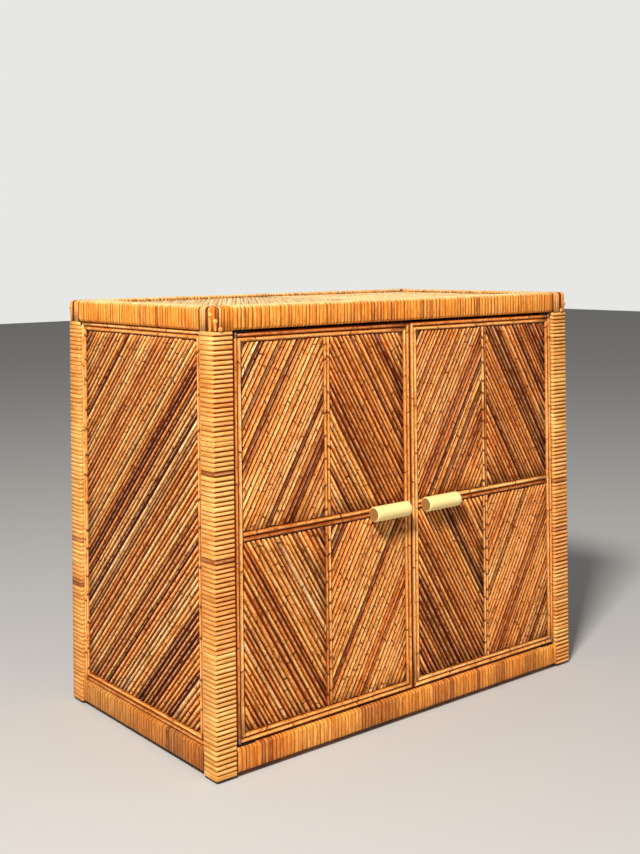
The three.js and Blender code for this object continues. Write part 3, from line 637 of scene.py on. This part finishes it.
def cane_group(name):
    """Split cane: streaks and fibres along the strand, toasted patches, specks, scars at the nodes, pale crests
    that are partly wear and partly a painted highlight, dark grooves at the seams that are partly stain and
    partly painted shade, and painted shade on the lower half of a turn."""
    plain = ("Seam", "Node", *CANE_AMOUNTS)
    inputs = {"Lay": "Vector", "Tint": "Color", "Groove Colour": "Color", "Scar": "Color"}
    outputs = {"Color": "Color", "Roughness": "Float", "Height": "Float"}
    group, given, result = new_group(name, inputs | dict.fromkeys(plain, "Float"), outputs)
    given, (plus, less, times) = given.outputs, sums(group)
    toasting, pale, darkest = (0.5, 0.3, 0.14, 1), (0.97, 0.55, 0.26, 1), 0.05
    along, across, seed = put(group, "ShaderNodeSeparateXYZ", {0: given["Lay"]}).outputs
    shift = times(seed, 71.0)

    def grain(length, width, **kind):
        """Noise at a scale along the strand and one across it, shifted for each strand."""
        inputs = {0: times(along, length), 1: times(across, width), 2: shift}
        return noise(group, put(group, "ShaderNodeCombineXYZ", inputs).outputs[0], **kind)

    streak, fibre, mottle = grain(24, 2.6, detail=4.0, rough=0.65), grain(160, 15), grain(95, 2.0, rough=0.6)
    patch = ease_in(group, grain(14, 0.7, detail=3.0), 0.52, 0.68)
    speck = ease_in(group, grain(200, 3), 0.58, 0.66)
    cloud = less(noise(group, object_spot(group), scale=12.0, detail=3.0, rough=0.6), 0.5)
    coarse = plus(less(streak, 0.5), less(mottle, 0.5))
    spread = plus(coarse, times(less(fibre, 0.5), 0.5))
    spread = plus(times(spread, given["Streaks"]), times(cloud, given["Cloud"]))
    side = calc(group, "ABSOLUTE", less(across, 0.5))
    # Painted shade: from where its groove starts, each strand darkens towards its edges, standing in for the
    # shade on a round strand
    soft = ease_in(group, plus(side, times(coarse, 0.3)), given["Groove"], 0.43)
    soft = less(1.0, times(times(soft, given["Seam"]), 0.69))
    # Painted shade on the lower half of each turn
    lower = less(1.0, ease_in(group, across, 0.15, 0.6))
    under = less(1.0, times(lower, times(given["Under"], given["Seam"])))
    light = times(plus(times(spread, 0.8), 1.0), soft)
    light = calc(group, "MAXIMUM", times(light, under), darkest)
    # Darker tones turn redder, which warms the painted shade and the darker streaks alike
    channels = {0: light, 1: calc(group, "POWER", light, 1.9), 2: calc(group, "POWER", light, 3.3)}
    redder = put(group, "ShaderNodeCombineColor", channels).outputs[0]
    tone = mix(group, 1.0, given["Tint"], redder, "MULTIPLY")
    tone = mix(group, times(patch, given["Patches"]), tone, toasting, "MULTIPLY")
    hook = plus(given["Node"], times(less(streak, 0.5), 0.9))
    ring = times(ease_in(group, hook, 0.66, 0.84), ease_in(group, grain(9, 1.5), 0.22, 0.42))
    mark = calc(group, "MAXIMUM", ring, times(speck, given["Specks"]))
    tone = mix(group, times(mark, 0.9), tone, given["Scar"])
    # Pale crests: partly wear, partly a painted highlight
    crest = less(1.0, ease_in(group, side, 0.02, 0.2))
    worn_and_highlit = times(times(crest, ease_in(group, mottle, 0.35, 0.6)), times(given["Rub"], given["Seam"]))
    tone = mix(group, times(worn_and_highlit, 0.75), tone, pale)
    # A dark line at each seam, partly stain and partly painted shade
    groove = times(ease_in(group, side, 0.36, 0.47), given["Seam"])
    tone = mix(group, groove, tone, given["Groove Colour"])
    rough = plus(times(groove, 0.25), plus(times(patch, 0.08), 0.38))
    height = less(plus(times(streak, 0.6), times(fibre, 0.5)), mark)
    for socket, value in zip(outputs, (tone, rough, height)):
        group.links.new(value, result.inputs[socket])
    return group


def cane_material(name):
    """A finish of split cane, which reads each strand's own lay, tint and nodes."""
    material, tree, *_ = new_material(name)
    *amounts, bump = CANE_FINISHES[name]
    lay, tint, node = (attribute(tree, key) for key in ("lay", "tint", "node"))
    inputs = {"Lay": lay["Vector"], "Tint": tint["Color"], "Seam": tint["Alpha"], "Node": node["Fac"],
              "Groove Colour": rgba("groove"), "Scar": rgba("scar"), **dict(zip(CANE_AMOUNTS, amounts))}
    cane = put(tree, "ShaderNodeGroup", inputs, node_tree=made("Cane")).outputs
    principled(tree, {"Base Color": cane["Color"], "Roughness": cane["Roughness"], "Specular IOR Level": 0.06,
                      "Coat Weight": 0.02, "Coat Roughness": 0.3}, (cane["Height"], bump, 0.4 * MM))
    return material


def board_material(name):
    """Stained plywood: rings of veneer stretched along one axis, fine pores, on Object coordinates."""
    material, tree, plus, _, times = new_material(name)
    scale = [9.0, 9.0, 9.0]
    scale[BOARDS[name][0]] = 0.9
    stretched = put(tree, "ShaderNodeMapping", {"Vector": object_spot(tree), "Scale": scale}).outputs[0]
    rings = calc(tree, "FRACT", times(noise(tree, stretched, scale=2.2, detail=3.0, rough=0.55), 7.0))
    pores = noise(tree, stretched, scale=60.0)
    shade = plus(times(ease_in(tree, rings, 0.0, 0.9), 0.28), times(pores, 0.35))
    tone = shaded(tree, "board", plus(shade, 0.68))
    roughness = plus(times(pores, 0.2), 0.42)
    principled(tree, {"Base Color": tone, "Roughness": roughness}, (pores, 0.25, 0.3 * MM))
    return material


def pole_material(name):
    """Peeled pole: pale skin with faint streaks, and a brown cut end full of pores where node is 1."""
    material, tree, plus, _, times = new_material(name)
    spot = object_spot(tree)
    stretched = put(tree, "ShaderNodeMapping", {"Vector": spot, "Scale": (18, 260, 260)}).outputs[0]
    streak = noise(tree, stretched, detail=4.0, rough=0.6)
    end = attribute(tree, "node")["Fac"]
    skin = shaded(tree, "pole", plus(times(streak, 0.34), 0.84))
    pith = shaded(tree, "pith", plus(noise(tree, spot, scale=1400.0), 0.5))
    tone = mix(tree, ease_in(tree, end, 0.3, 0.9), skin, pith)
    roughness = plus(times(end, 0.3), plus(times(streak, 0.2), 0.25))
    principled(tree, {"Base Color": tone, "Roughness": roughness, "Coat Weight": 0.3, "Coat Roughness": 0.2},
               (streak, 0.2, 0.3 * MM))
    return material


def fitting_material(name):
    """Plated steel or satin plastic: a fine cloudy wear in colour and roughness on Object coordinates."""
    material, tree, plus, _, times = new_material(name)
    tone, roughness, metallic = FITTING_FINISHES[name]
    wear = noise(tree, object_spot(tree), scale=420.0, detail=4.0, rough=0.65)
    tone = shaded(tree, tone, plus(times(wear, 0.4), 0.78))
    roughness = plus(times(wear, 0.25), roughness)
    principled(tree, {"Base Color": tone, "Roughness": roughness, "Metallic": metallic}, (wear, 0.1, 0.2 * MM))
    return material


MAKERS = {
    "Cane": cane_group,
    "Pole": pole_material,
    **dict.fromkeys(CANE_FINISHES, cane_material),
    **dict.fromkeys(BOARDS, board_material),
    **dict.fromkeys(FITTING_FINISHES, fitting_material),
}


def made(name):
    """The material or node group of that name, made on first use."""
    return bpy.data.materials.get(name) or bpy.data.node_groups.get(name) or MAKERS[name](name)


class CABINET_OT_wind_posts(bpy.types.Operator):
    """Wind the four posts with half-round rattan over a wooden core"""

    bl_idname = "cabinet.wind_posts"
    bl_label = "Wind Posts"

    def execute(self, context):
        sizes = context.scene.cabinet_winding
        spread, flatness, core_ease = 0.06, 1.4, 1 * MM
        for corner in CORNERS:
            post, core = Piece(f"{corner}_post"), Piece(f"{corner}_post")
            inwards = math.pi / 2 if corner.startswith("front") else -math.pi / 2
            wound_bar(post, 2, inwards, sizes.post_turn, sizes.post_crown, sizes.post_edge, spread, flatness,
                      "post", sizes.side_relief)
            post.dress("winding", "Post winding")
            inner = np.array([1, 1, 0]) * sizes.post_crown
            eased_block(core, core.low + inner, core.high - inner, core_ease)
            core.dress("core", "Core wood")
        return {"FINISHED"}


class CABINET_OT_wind_rails(bpy.types.Operator):
    """Wind the eight rails with flat peel, edge to edge"""

    bl_idname = "cabinet.wind_rails"
    bl_label = "Wind Rails"

    def execute(self, context):
        sizes, flatness = context.scene.cabinet_winding, 0.45
        inner_side = {"front": (0, 0), "rear": (0, 180), "left": (1, 90), "right": (1, -90)}
        for level, bleach_and_painted_light in (("bottom", 0.0), ("top", 1.0)):
            kinds = ((sizes.rail_turn, 0.1, level), (sizes.side_turn, 0.2, f"{level} side"))
            for place, (axis, step_side) in inner_side.items():
                rail = Piece(f"{level}_{place}_rail")
                pitch, spread, mixed = kinds[axis]
                wound_bar(rail, axis, math.radians(step_side), pitch, sizes.rail_crown, sizes.rail_edge,
                          spread, flatness, mixed, bleach_and_painted_light=bleach_and_painted_light)
                rail.dress("winding", "Rail winding")
        return {"FINISHED"}


class CABINET_OT_cover_corners(bpy.types.Operator):
    """Cover the corner blocks with upright strips that bend over the top, and domed pins in a falling row"""

    bl_idname = "cabinet.cover_corners"
    bl_label = "Cover Corners"
    BEND, THICK = 9 * MM, 1.1 * MM

    def execute(self, context):
        sunk, core_edge = 1.4 * MM, 7.6 * MM
        tint = np.array(rgba("honey", 0))
        for corner in CORNERS:
            block = Piece(f"{corner}_corner_block")
            self.strips(block, STRIPS[::-1] if corner.endswith("right") else STRIPS)
            self.pins(block, tint, sunk)
            eased_block(block, block.low + sunk, block.high - sunk, core_edge, tint)
            block.dress("strips", "Corner strips")
        return {"FINISHED"}

    def outline(self, block, s, depth):
        """The point at a distance s round the two outer faces and a depth under them, and the way out there.
        The edge between them is a quarter circle. At its middle s is 0, and it grows to the front or rear."""
        outwards = np.array([1 if "right" in block.node else -1, 1 if "rear" in block.node else -1])
        outer = np.where(outwards > 0, block.high[:2], block.low[:2])
        turn = np.clip(s / self.BEND, -np.pi / 4, np.pi / 4) + np.pi / 4
        on = np.stack([np.cos(turn), np.sin(turn)], -1)
        run = np.maximum(np.stack([s, -s], -1) - self.BEND * np.pi / 4, 0)
        spot = outer - outwards * (self.BEND + run) + outwards * on * (self.BEND - depth)
        return spot, outwards * on

    def strips(self, block, order):
        """Upright strips: a point keeps its distance round the edge, rises up the face, bends over the rim by
        a quarter circle and ends at the mitre. It stands out by its section's height times the thickness."""
        rim, mitre_gap, least_lap = 5 * MM, 0.3 * MM, 0.6 * MM
        foot, top = block.low[2], block.high[2]
        straight = block.high[0] - block.low[0] - self.BEND
        reach = self.BEND * np.pi / 4 + straight
        widths = np.array([width for width, _ in order])
        edges = np.concatenate([[0], np.cumsum(widths)]) * 2 * reach / widths.sum() - reach
        across, height = section(points=5, flatness=0.5)
        s = edges[:-1, None] + np.diff(edges)[:, None] * across
        from_corner = np.maximum(np.abs(s) - self.BEND * np.pi / 4 + self.BEND, 0)
        bow = np.radians([22, 45, 68, 90])
        rise = np.concatenate([[foot, top - rim], top - rim + rim * np.sin(bow), [top]])[:, None]
        tilt = np.concatenate([[0, 0], np.sin(bow), [1]])[:, None]
        inward = np.concatenate([[0, 0], rim * (1 - np.cos(bow))])[:, None] + np.zeros_like(s)[:, None]
        last = np.maximum(from_corner - mitre_gap, rim + least_lap)
        inward = np.concatenate([inward, last[:, None]], 1)
        spot, out = self.outline(block, np.broadcast_to(s[:, None], inward.shape), self.THICK)
        flat = spot - out * (inward - (1 - tilt) * self.THICK * height)[..., None]
        z = np.broadcast_to(rise - self.THICK * tilt * (1 - height), inward.shape)
        points = np.concatenate([flat, z[..., None]], -1)
        tint = np.array([rgba(tone, 0.5) for _, tone in order])
        block.add(points, z, across, block.rng.uniform(size=(len(s), 1, 1)), 0.0, tint[:, None, None])

    def pins(self, block, tint, sunk):
        """Three upright pegs side by side on the outer corner, each lower than the last. A profile of a plain
        rod and a circle, the head, is turned."""
        head, rod, foot = 4.1 * MM, 1.9 * MM, block.low[2]
        turn = np.radians([-55, -30, 0, 30, 55, 80])
        for place, drop in ((-5.5, 8.5), (3.5, 18.2), (12.5, 30.5)):
            spot, _ = self.outline(block, np.array(place * MM), sunk)
            top = block.high[2] - drop * MM
            knob = np.stack([head * np.cos(turn), top - head + head * np.sin(turn)], 1)
            profile = [(rod, foot + 0.3 * MM), (rod, foot + 0.5 * MM), *knob]
            seed, paler = block.rng.uniform(), (*block.rng.uniform(0.75, 1, 3), 0)
            turned(block, (*spot, 0), profile, 14, along=0.1 * place, seed=seed, tint=tint * paler, across=0.5)


class CABINET_OT_lay_reeds(bpy.types.Operator):
    """Lay the reeds of the top, the sides and the eight door fields"""

    bl_idname = "cabinet.lay_reeds"
    bl_label = "Lay Reeds"

    def execute(self, context):
        sizes = context.scene.cabinet_reeds
        self.top(sizes)
        for side in SIDES:
            self.side(sizes, side)
            for level in LEVELS:
                self.door(sizes, side, level)
        return {"FINISHED"}

    def top(self, sizes):
        """Two flatter fields that lean together at the back."""
        piece = Piece("top_reeds")
        piece.rise *= 0.55
        lean, flatness = sizes.top_lie, 0.4
        for start, end, lie in ((piece.low[0], 0.0, lean), (0.0, piece.high[0], math.pi - lean)):
            reed_field(piece, start, end, lie, sizes.top_pitch, "top", flatness)
        piece.dress("laid", "Top reeds")

    def side(self, sizes, side):
        """One field that rises towards the front."""
        piece = Piece(f"{side}_side_reeds", SIDE_FACE[side])
        lie = sizes.side_lie if side == "left" else math.pi - sizes.side_lie
        reed_field(piece, piece.low[0], piece.high[0], lie, sizes.side_pitch, "side")
        piece.dress("laid", "Side reeds")

    def door(self, sizes, side, level):
        """Two fields that lean together at the top above the middle rail and apart below it."""
        piece = Piece(f"{side}_door_{level}_reeds", FRONT)
        strip_low, strip_high = FRONT.span(f"{side}_door_{level}_strip")
        lean = sizes.door_lie if level == "upper" else math.pi - sizes.door_lie
        fields = ((piece.low[0], strip_low[0], lean), (strip_high[0], piece.high[0], math.pi - lean))
        for field, mixed in zip(fields, DOOR_MIXES[side, level]):
            reed_field(piece, *field, sizes.door_pitch, mixed)
        piece.dress("laid", "Door reeds")


class CABINET_OT_fit_mouldings(bpy.types.Operator):
    """Fit the half-round mouldings: mitred pairs round the fields, middle rails and centre strips"""

    bl_idname = "cabinet.fit_mouldings"
    bl_label = "Fit Mouldings"
    # The mean distance between nodes and how much they show, on plain lengths and on knotty ones, whose close
    # marks stand partly for painted shade at the reed ends
    PLAIN, KNOTTY = (0.13, 1.0), (0.04, 1.25)

    def execute(self, context):
        for side in SIDES:
            self.frame(Piece(f"{side}_side_moulding", SIDE_FACE[side]), None)
            self.frame(Piece(f"{side}_door_moulding", FRONT), side)
            self.pair(Piece(f"{side}_door_mid_rail", FRONT), True)
            for level in LEVELS:
                self.pair(Piece(f"{side}_door_{level}_strip", FRONT), False)
        return {"FINISHED"}

    def tone(self, hinged, bead, level, far):
        """A mix for each half-round: brown as painted shade where the case shades it, orange at the left door's
        meeting edge, tan within its hinged edge and at the foot of the side fields, where it is partly painted
        shade, gold elsewhere."""
        if bead == 0 and (hinged and level and far or hinged == "left" and not level and not far):
            return "brown"
        if not level and hinged == "left":
            return "orange" if far else "tan"
        return "tan" if not hinged and level and not far else "gold"

    def frame(self, piece, hinged):
        """Eight half-rounds, two to a side, mitred; at a door's hinged corners the outer ones stop short."""
        width, notch_level, notch_up = 7.5 * MM, 7.6 * MM, 8.5 * MM
        for bead in (0, 1):
            for level in (True, False):
                k = 1 if level else 0
                for far in (False, True):
                    edge, inwards = (piece.high[k], -1) if far else (piece.low[k], 1)
                    insets = (edge + inwards * bead * width, edge + inwards * (bead + 1) * width, edge)
                    cuts = [(1, 0), (1, 0)]
                    if hinged and bead == 0 and level:
                        cuts[hinged == "right"] = (0, notch_level)
                    if hinged and bead == 0 and not level and far == (hinged == "right"):
                        cuts = [(0, notch_up), (0, notch_up)]
                    nodes = self.KNOTTY if bead and not hinged and not level else self.PLAIN
                    half_round(piece, level, insets, cuts, self.tone(hinged, bead, level, far), *nodes)
        piece.dress("laid", "Moulding")

    def pair(self, piece, level):
        """Two half-rounds side by side, square at both ends. The lower one of a middle rail is darker."""
        # The centre strips' close marks stand partly for painted shade at the reed ends
        k, (step, mark) = (1, (0.12, 1.0)) if level else (0, (0.032, 1.25))
        edges = (piece.low[k], piece.high[k])
        middle = sum(edges) / 2
        for edge in edges:
            insets = (min(edge, middle), max(edge, middle), edge)
            mixed = "rust" if level and edge < middle else "tan"
            half_round(piece, level, insets, [(0, 0), (0, 0)], mixed, step, mark)
        piece.dress("laid", "Moulding")


class CABINET_OT_make_handles(bpy.types.Operator):
    """Make the two handles: short poles with softened cut ends, flat where they lie on the middle rail"""

    bl_idname = "cabinet.make_handles"
    bl_label = "Make Handles"

    def execute(self, context):
        soft, stations, sides = 2.2 * MM, 9, 40
        turn = np.linspace(0, 2 * np.pi, sides, endpoint=False)
        for side in SIDES:
            piece = Piece(f"{side}_handle", FRONT)
            low, high = piece.low, piece.high
            length, radius = high[0] - low[0], (high[1] - low[1]) / 2
            end_run = np.concatenate([[0, 0, 0], soft * (1 - np.cos(QUARTER))])
            cut_face = [0.04 * radius, 0.5 * radius, 0.75 * radius]
            end_radius = np.concatenate([cut_face, radius - soft + soft * np.sin(QUARTER)])
            body = np.linspace(0.1, 0.9, stations) * length
            run = np.concatenate([end_run, body, length - end_run[::-1]])[:, None]
            size = np.concatenate([end_radius, np.full(stations, radius), end_radius[::-1]])[:, None]
            cut = np.concatenate([np.ones(4), np.zeros(3 + stations + 3), np.ones(4)])
            # A circle a little out of round is carried along the pole. Its radius follows a quarter circle at
            # each end, and it is cut off flat at the middle rail's face
            lobes = 1 + 0.008 * np.sin(3 * turn + piece.rng.uniform(0, 6)) + 0.006 * np.sin(5 * turn)
            q = (low[1] + high[1]) / 2 + size * lobes * np.cos(turn)
            h = np.maximum(high[2] - radius + size * lobes * np.sin(turn), low[2])
            piece.add(FRONT.place(low[0] + run, q, h)[None], node=cut[None, :, None], open_base=False)
            piece.dress("pole", "Pole")
        return {"FINISHED"}


class CABINET_OT_finish_boards(bpy.types.Operator):
    """Ease the edges of the boards and give them their stained veneer"""

    bl_idname = "cabinet.finish_boards"
    bl_label = "Finish Boards"

    def execute(self, context):
        ease = 0.8 * MM
        for finish, (_, *nodes) in BOARDS.items():
            for node in nodes:
                board = Piece(node)
                eased_block(board, board.low, board.high, ease)
                board.dress("eased", finish)
        shelf = frame["nodes"]["shelf"]
        shelf.data.materials.clear()
        shelf.data.materials.append(made("Board level grain"))
        return {"FINISHED"}


class CABINET_OT_fit_metal(bpy.types.Operator):
    """Fit the pivot hinges, the strike plates and the magnetic catch"""

    bl_idname = "cabinet.fit_metal"
    bl_label = "Fit Hinges and Catch"

    def execute(self, context):
        for side in SIDES:
            for level in LEVELS:
                self.hinge(side, level)
            self.strike(side)
        self.catch()
        return {"FINISHED"}

    def hinge(self, side, level):
        """A leaf on the door with a rolled knuckle round the pin, and a leaf with the pin on the case."""
        radius, pin, play, leaf, ease = 2.6 * MM, 1.4 * MM, 0.25 * MM, 1.2 * MM, 0.35 * MM
        bore, sides, pin_sides = pin + play, 24, 20
        for kind in ("barrel", "pin"):
            node = f"{side}_door_{level}_hinge_{kind}"
            plate, round_part = Piece(node), Piece(node)
            low, high = round_part.low, round_part.high
            centre_x = low[0] + radius if side == "left" else high[0] - radius
            centre = (centre_x, low[1] + radius, 0)
            if level == "upper":
                start, end = low[2], high[2] - leaf
                plate.low[2] = end
            else:
                start, end = low[2] + leaf, high[2]
                plate.high[2] = start
            eased_block(plate, plate.low, plate.high, ease)
            plate.dress("leaf", "Tarnished steel")
            if kind == "barrel":
                profile = [(bore, start + ease), (bore, end - ease), (bore + ease, end),
                           (radius - ease, end), (radius, end - ease), (radius, start + ease),
                           (radius - ease, start), (bore + ease, start)]
                turned(round_part, centre, profile, sides, closed=True)
                round_part.dress("knuckle", "Plated steel")
            else:
                profile = [(pin - ease, start), (pin, start + ease), (pin, end - ease), (pin - ease, end)]
                turned(round_part, centre, profile, pin_sides)
                round_part.dress("stem", "Plated steel")

    def strike(self, side):
        """A thin plate on the back of the door, held by two domed screws, each a turned profile of rings."""
        plate, screws = Piece(f"{side}_door_strike"), Piece(f"{side}_door_strike")
        low, high, ease = plate.low, plate.high, 0.4 * MM
        eased_block(plate, low, high, ease)
        plate.dress("plate", "Tarnished steel")
        dome = np.array([(2, -0.2), (2, 0.1), (1.5, 0.5), (0.7, 0.65), (0.5, 0.3)]) * MM
        for share in (0.2, 0.8):
            centre = (low[0] + share * (high[0] - low[0]), high[1], (low[2] + high[2]) / 2)
            turned(screws, centre, dome, 16, BACK)
        screws.dress("screws", "Plated steel")

    def catch(self):
        """A moulded case with two steel cheeks to each magnet, which meet the strike plates."""
        body, cheeks = Piece("magnetic_catch"), Piece("magnetic_catch")
        low, high = body.low, body.high
        lip, ease, cheek_ease = 1.2 * MM, 0.9 * MM, 0.3 * MM
        apart, inset, half_width, deep, half_thick = 11.5 * MM, 3 * MM, 7 * MM, 6 * MM, 1.1 * MM
        eased_block(body, low + (0, lip, 0), high, ease)
        body.dress("case", "Satin plastic")
        middle = (low[0] + high[0]) / 2
        for centre in (middle - apart, middle + apart):
            for z in (low[2] + inset, high[2] - inset):
                start = np.array([centre - half_width, low[1], z - half_thick])
                end = np.array([centre + half_width, low[1] + deep, z + half_thick])
                eased_block(cheeks, start, end, cheek_ease)
        cheeks.dress("cheeks", "Tarnished steel")


class CABINET_OT_add_glides(bpy.types.Operator):
    """Add the round glides under the posts"""

    bl_idname = "cabinet.add_glides"
    bl_label = "Add Glides"

    def execute(self, context):
        soft, rim_ease, sides, hollow = 1.2 * MM, 0.4 * MM, 32, 0.3
        for corner in CORNERS:
            piece = Piece(f"{corner}_glide")
            low, high = piece.low, piece.high
            radius = (high[0] - low[0]) / 2
            # The foot's edge is a quarter circle, turned round the middle
            foot = np.stack([radius - soft + soft * np.sin(QUARTER), low[2] + soft * (1 - np.cos(QUARTER))], 1)
            rim = [(radius, high[2] - rim_ease), (radius - rim_ease, high[2]), (hollow * radius, high[2])]
            turned(piece, (*(low + high)[:2] / 2, 0), [(hollow * radius, low[2]), *foot, *rim], sides)
            piece.dress("turned", "Satin plastic")
        return {"FINISHED"}


class CABINET_OT_set_stage(bpy.types.Operator):
    """Set the pale floor, the soft lamps and the camera"""

    bl_idname = "cabinet.set_stage"
    bl_label = "Set Stage"

    def execute(self, context):
        settings = context.scene.cabinet_stage
        self.floor()
        self.world(settings)
        self.lamp("Key", (-2.6, -1.9, 3.5), 0.7, settings.key, (1.0, 0.97, 0.92))
        self.lamp("Fill", (2.6, -3.4, 1.6), 2.2, settings.fill, (0.95, 0.97, 1.0))
        self.camera(settings)
        context.scene.view_settings.view_transform = "Standard"
        return {"FINISHED"}

    def staged(self, name, data):
        """A new object in the scene."""
        thing = bpy.data.objects.new(name, data)
        bpy.context.scene.collection.objects.link(thing)
        return thing

    def floor(self):
        """A wide level plane just under the glides."""
        reach, level = 12.0, -0.2 * MM
        mesh = bpy.data.meshes.new("floor")
        corners = [(x * reach, y * reach, level) for x, y in ((-1, -1), (1, -1), (1, 1), (-1, 1))]
        mesh.from_pydata(corners, [], [(0, 1, 2, 3)])
        floor = self.staged("floor", mesh)
        material, tree, plus, _, times = new_material("Floor")
        speckle = noise(tree, object_spot(tree), scale=300.0, detail=3.0)
        value = plus(times(speckle, 0.06), 0.97)
        principled(tree, {"Base Color": shaded(tree, "floor", value), "Roughness": 0.85})
        mesh.materials.append(material)

    def world(self, settings):
        """Even light all round, and a pale background for what the camera and gloss see."""
        world = bpy.data.worlds.new("Studio")
        bpy.context.scene.world = world
        world.use_nodes = True
        tree = world.node_tree
        tree.nodes.clear()
        plus, _, times = sums(tree)
        path = put(tree, "ShaderNodeLightPath").outputs
        mirrored = plus(path["Is Glossy Ray"], path["Is Transmission Ray"])
        seen = calc(tree, "MAXIMUM", path["Is Camera Ray"], times(mirrored, 0.2))
        light, backdrop = (
            put(tree, "ShaderNodeBackground", {"Color": tone, "Strength": strength}).outputs[0]
            for tone, strength in (((1, 1, 1, 1), settings.ambient), ((0.8, 0.8, 0.79, 1), 1.0)))
        mixed = put(tree, "ShaderNodeMixShader", {0: seen, 1: light, 2: backdrop}).outputs[0]
        put(tree, "ShaderNodeOutputWorld", {"Surface": mixed})

    def lamp(self, name, place, size, power, tone):
        """A square area lamp, its -Z turned to the middle of the cabinet: yaw from the ground direction, tilt
        from the drop."""
        data = bpy.data.lights.new(name, "AREA")
        data.energy, data.size, data.color = power, size, tone
        lamp = self.staged(name, data)
        x, y, z = (b - a for a, b in zip(place, (0, 0, 0.35)))
        lamp.location = place
        lamp.rotation_euler = (math.atan2(math.hypot(x, y), -z), 0, math.atan2(y, x) - math.pi / 2)

    def camera(self, settings):
        """A level camera, its picture shifted down so that uprights stay upright, as fitted to the photo."""
        roll, yaw, shift = 0.603, -39.051, -0.1995
        data = bpy.data.cameras.new("Camera")
        data.lens, data.sensor_width, data.shift_y = settings.lens, 36, shift
        camera = self.staged("Camera", data)
        camera.location = (-1.3829, -1.6781, 0.784)
        camera.rotation_euler = (math.pi / 2, math.radians(roll), math.radians(yaw))
        bpy.context.scene.camera = camera


class CABINET_PT_panel(bpy.types.Panel):
    """Lists the steps and settings of the cabinet"""

    bl_label = "Record Cabinet"
    bl_idname = "CABINET_PT_panel"
    bl_space_type = "VIEW_3D"
    bl_region_type = "UI"
    bl_category = "Cabinet"

    def draw(self, context):
        for name in SETTINGS:
            settings = getattr(context.scene, name)
            box = self.layout.box()
            for key in settings.bl_rna.properties.keys():
                if key not in ("rna_type", "name"):
                    box.prop(settings, key)
        for step in STEPS:
            self.layout.operator(step.bl_idname)


SETTINGS = {
    "cabinet_winding": WindingSettings,
    "cabinet_reeds": ReedSettings,
    "cabinet_colours": ColourSettings,
    "cabinet_stage": StageSettings,
}
STEPS = (
    CABINET_OT_wind_posts,
    CABINET_OT_wind_rails,
    CABINET_OT_cover_corners,
    CABINET_OT_lay_reeds,
    CABINET_OT_fit_mouldings,
    CABINET_OT_make_handles,
    CABINET_OT_finish_boards,
    CABINET_OT_fit_metal,
    CABINET_OT_add_glides,
    CABINET_OT_set_stage,
)


def register():
    """Registers the settings, the steps and the panel."""
    for name, settings in SETTINGS.items():
        bpy.utils.register_class(settings)
        setattr(bpy.types.Scene, name, bpy.props.PointerProperty(type=settings))
    for step in (*STEPS, CABINET_PT_panel):
        bpy.utils.register_class(step)


def unregister():
    """Takes out what register put in."""
    for step in (CABINET_PT_panel, *reversed(STEPS)):
        bpy.utils.unregister_class(step)
    for name, settings in reversed(SETTINGS.items()):
        delattr(bpy.types.Scene, name)
        bpy.utils.unregister_class(settings)


def main():
    """Registers the add-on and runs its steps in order."""
    register()
    for step in STEPS:
        group, call = step.bl_idname.split(".")
        getattr(getattr(bpy.ops, group), call)()


if __name__ == "__main__":
    main()
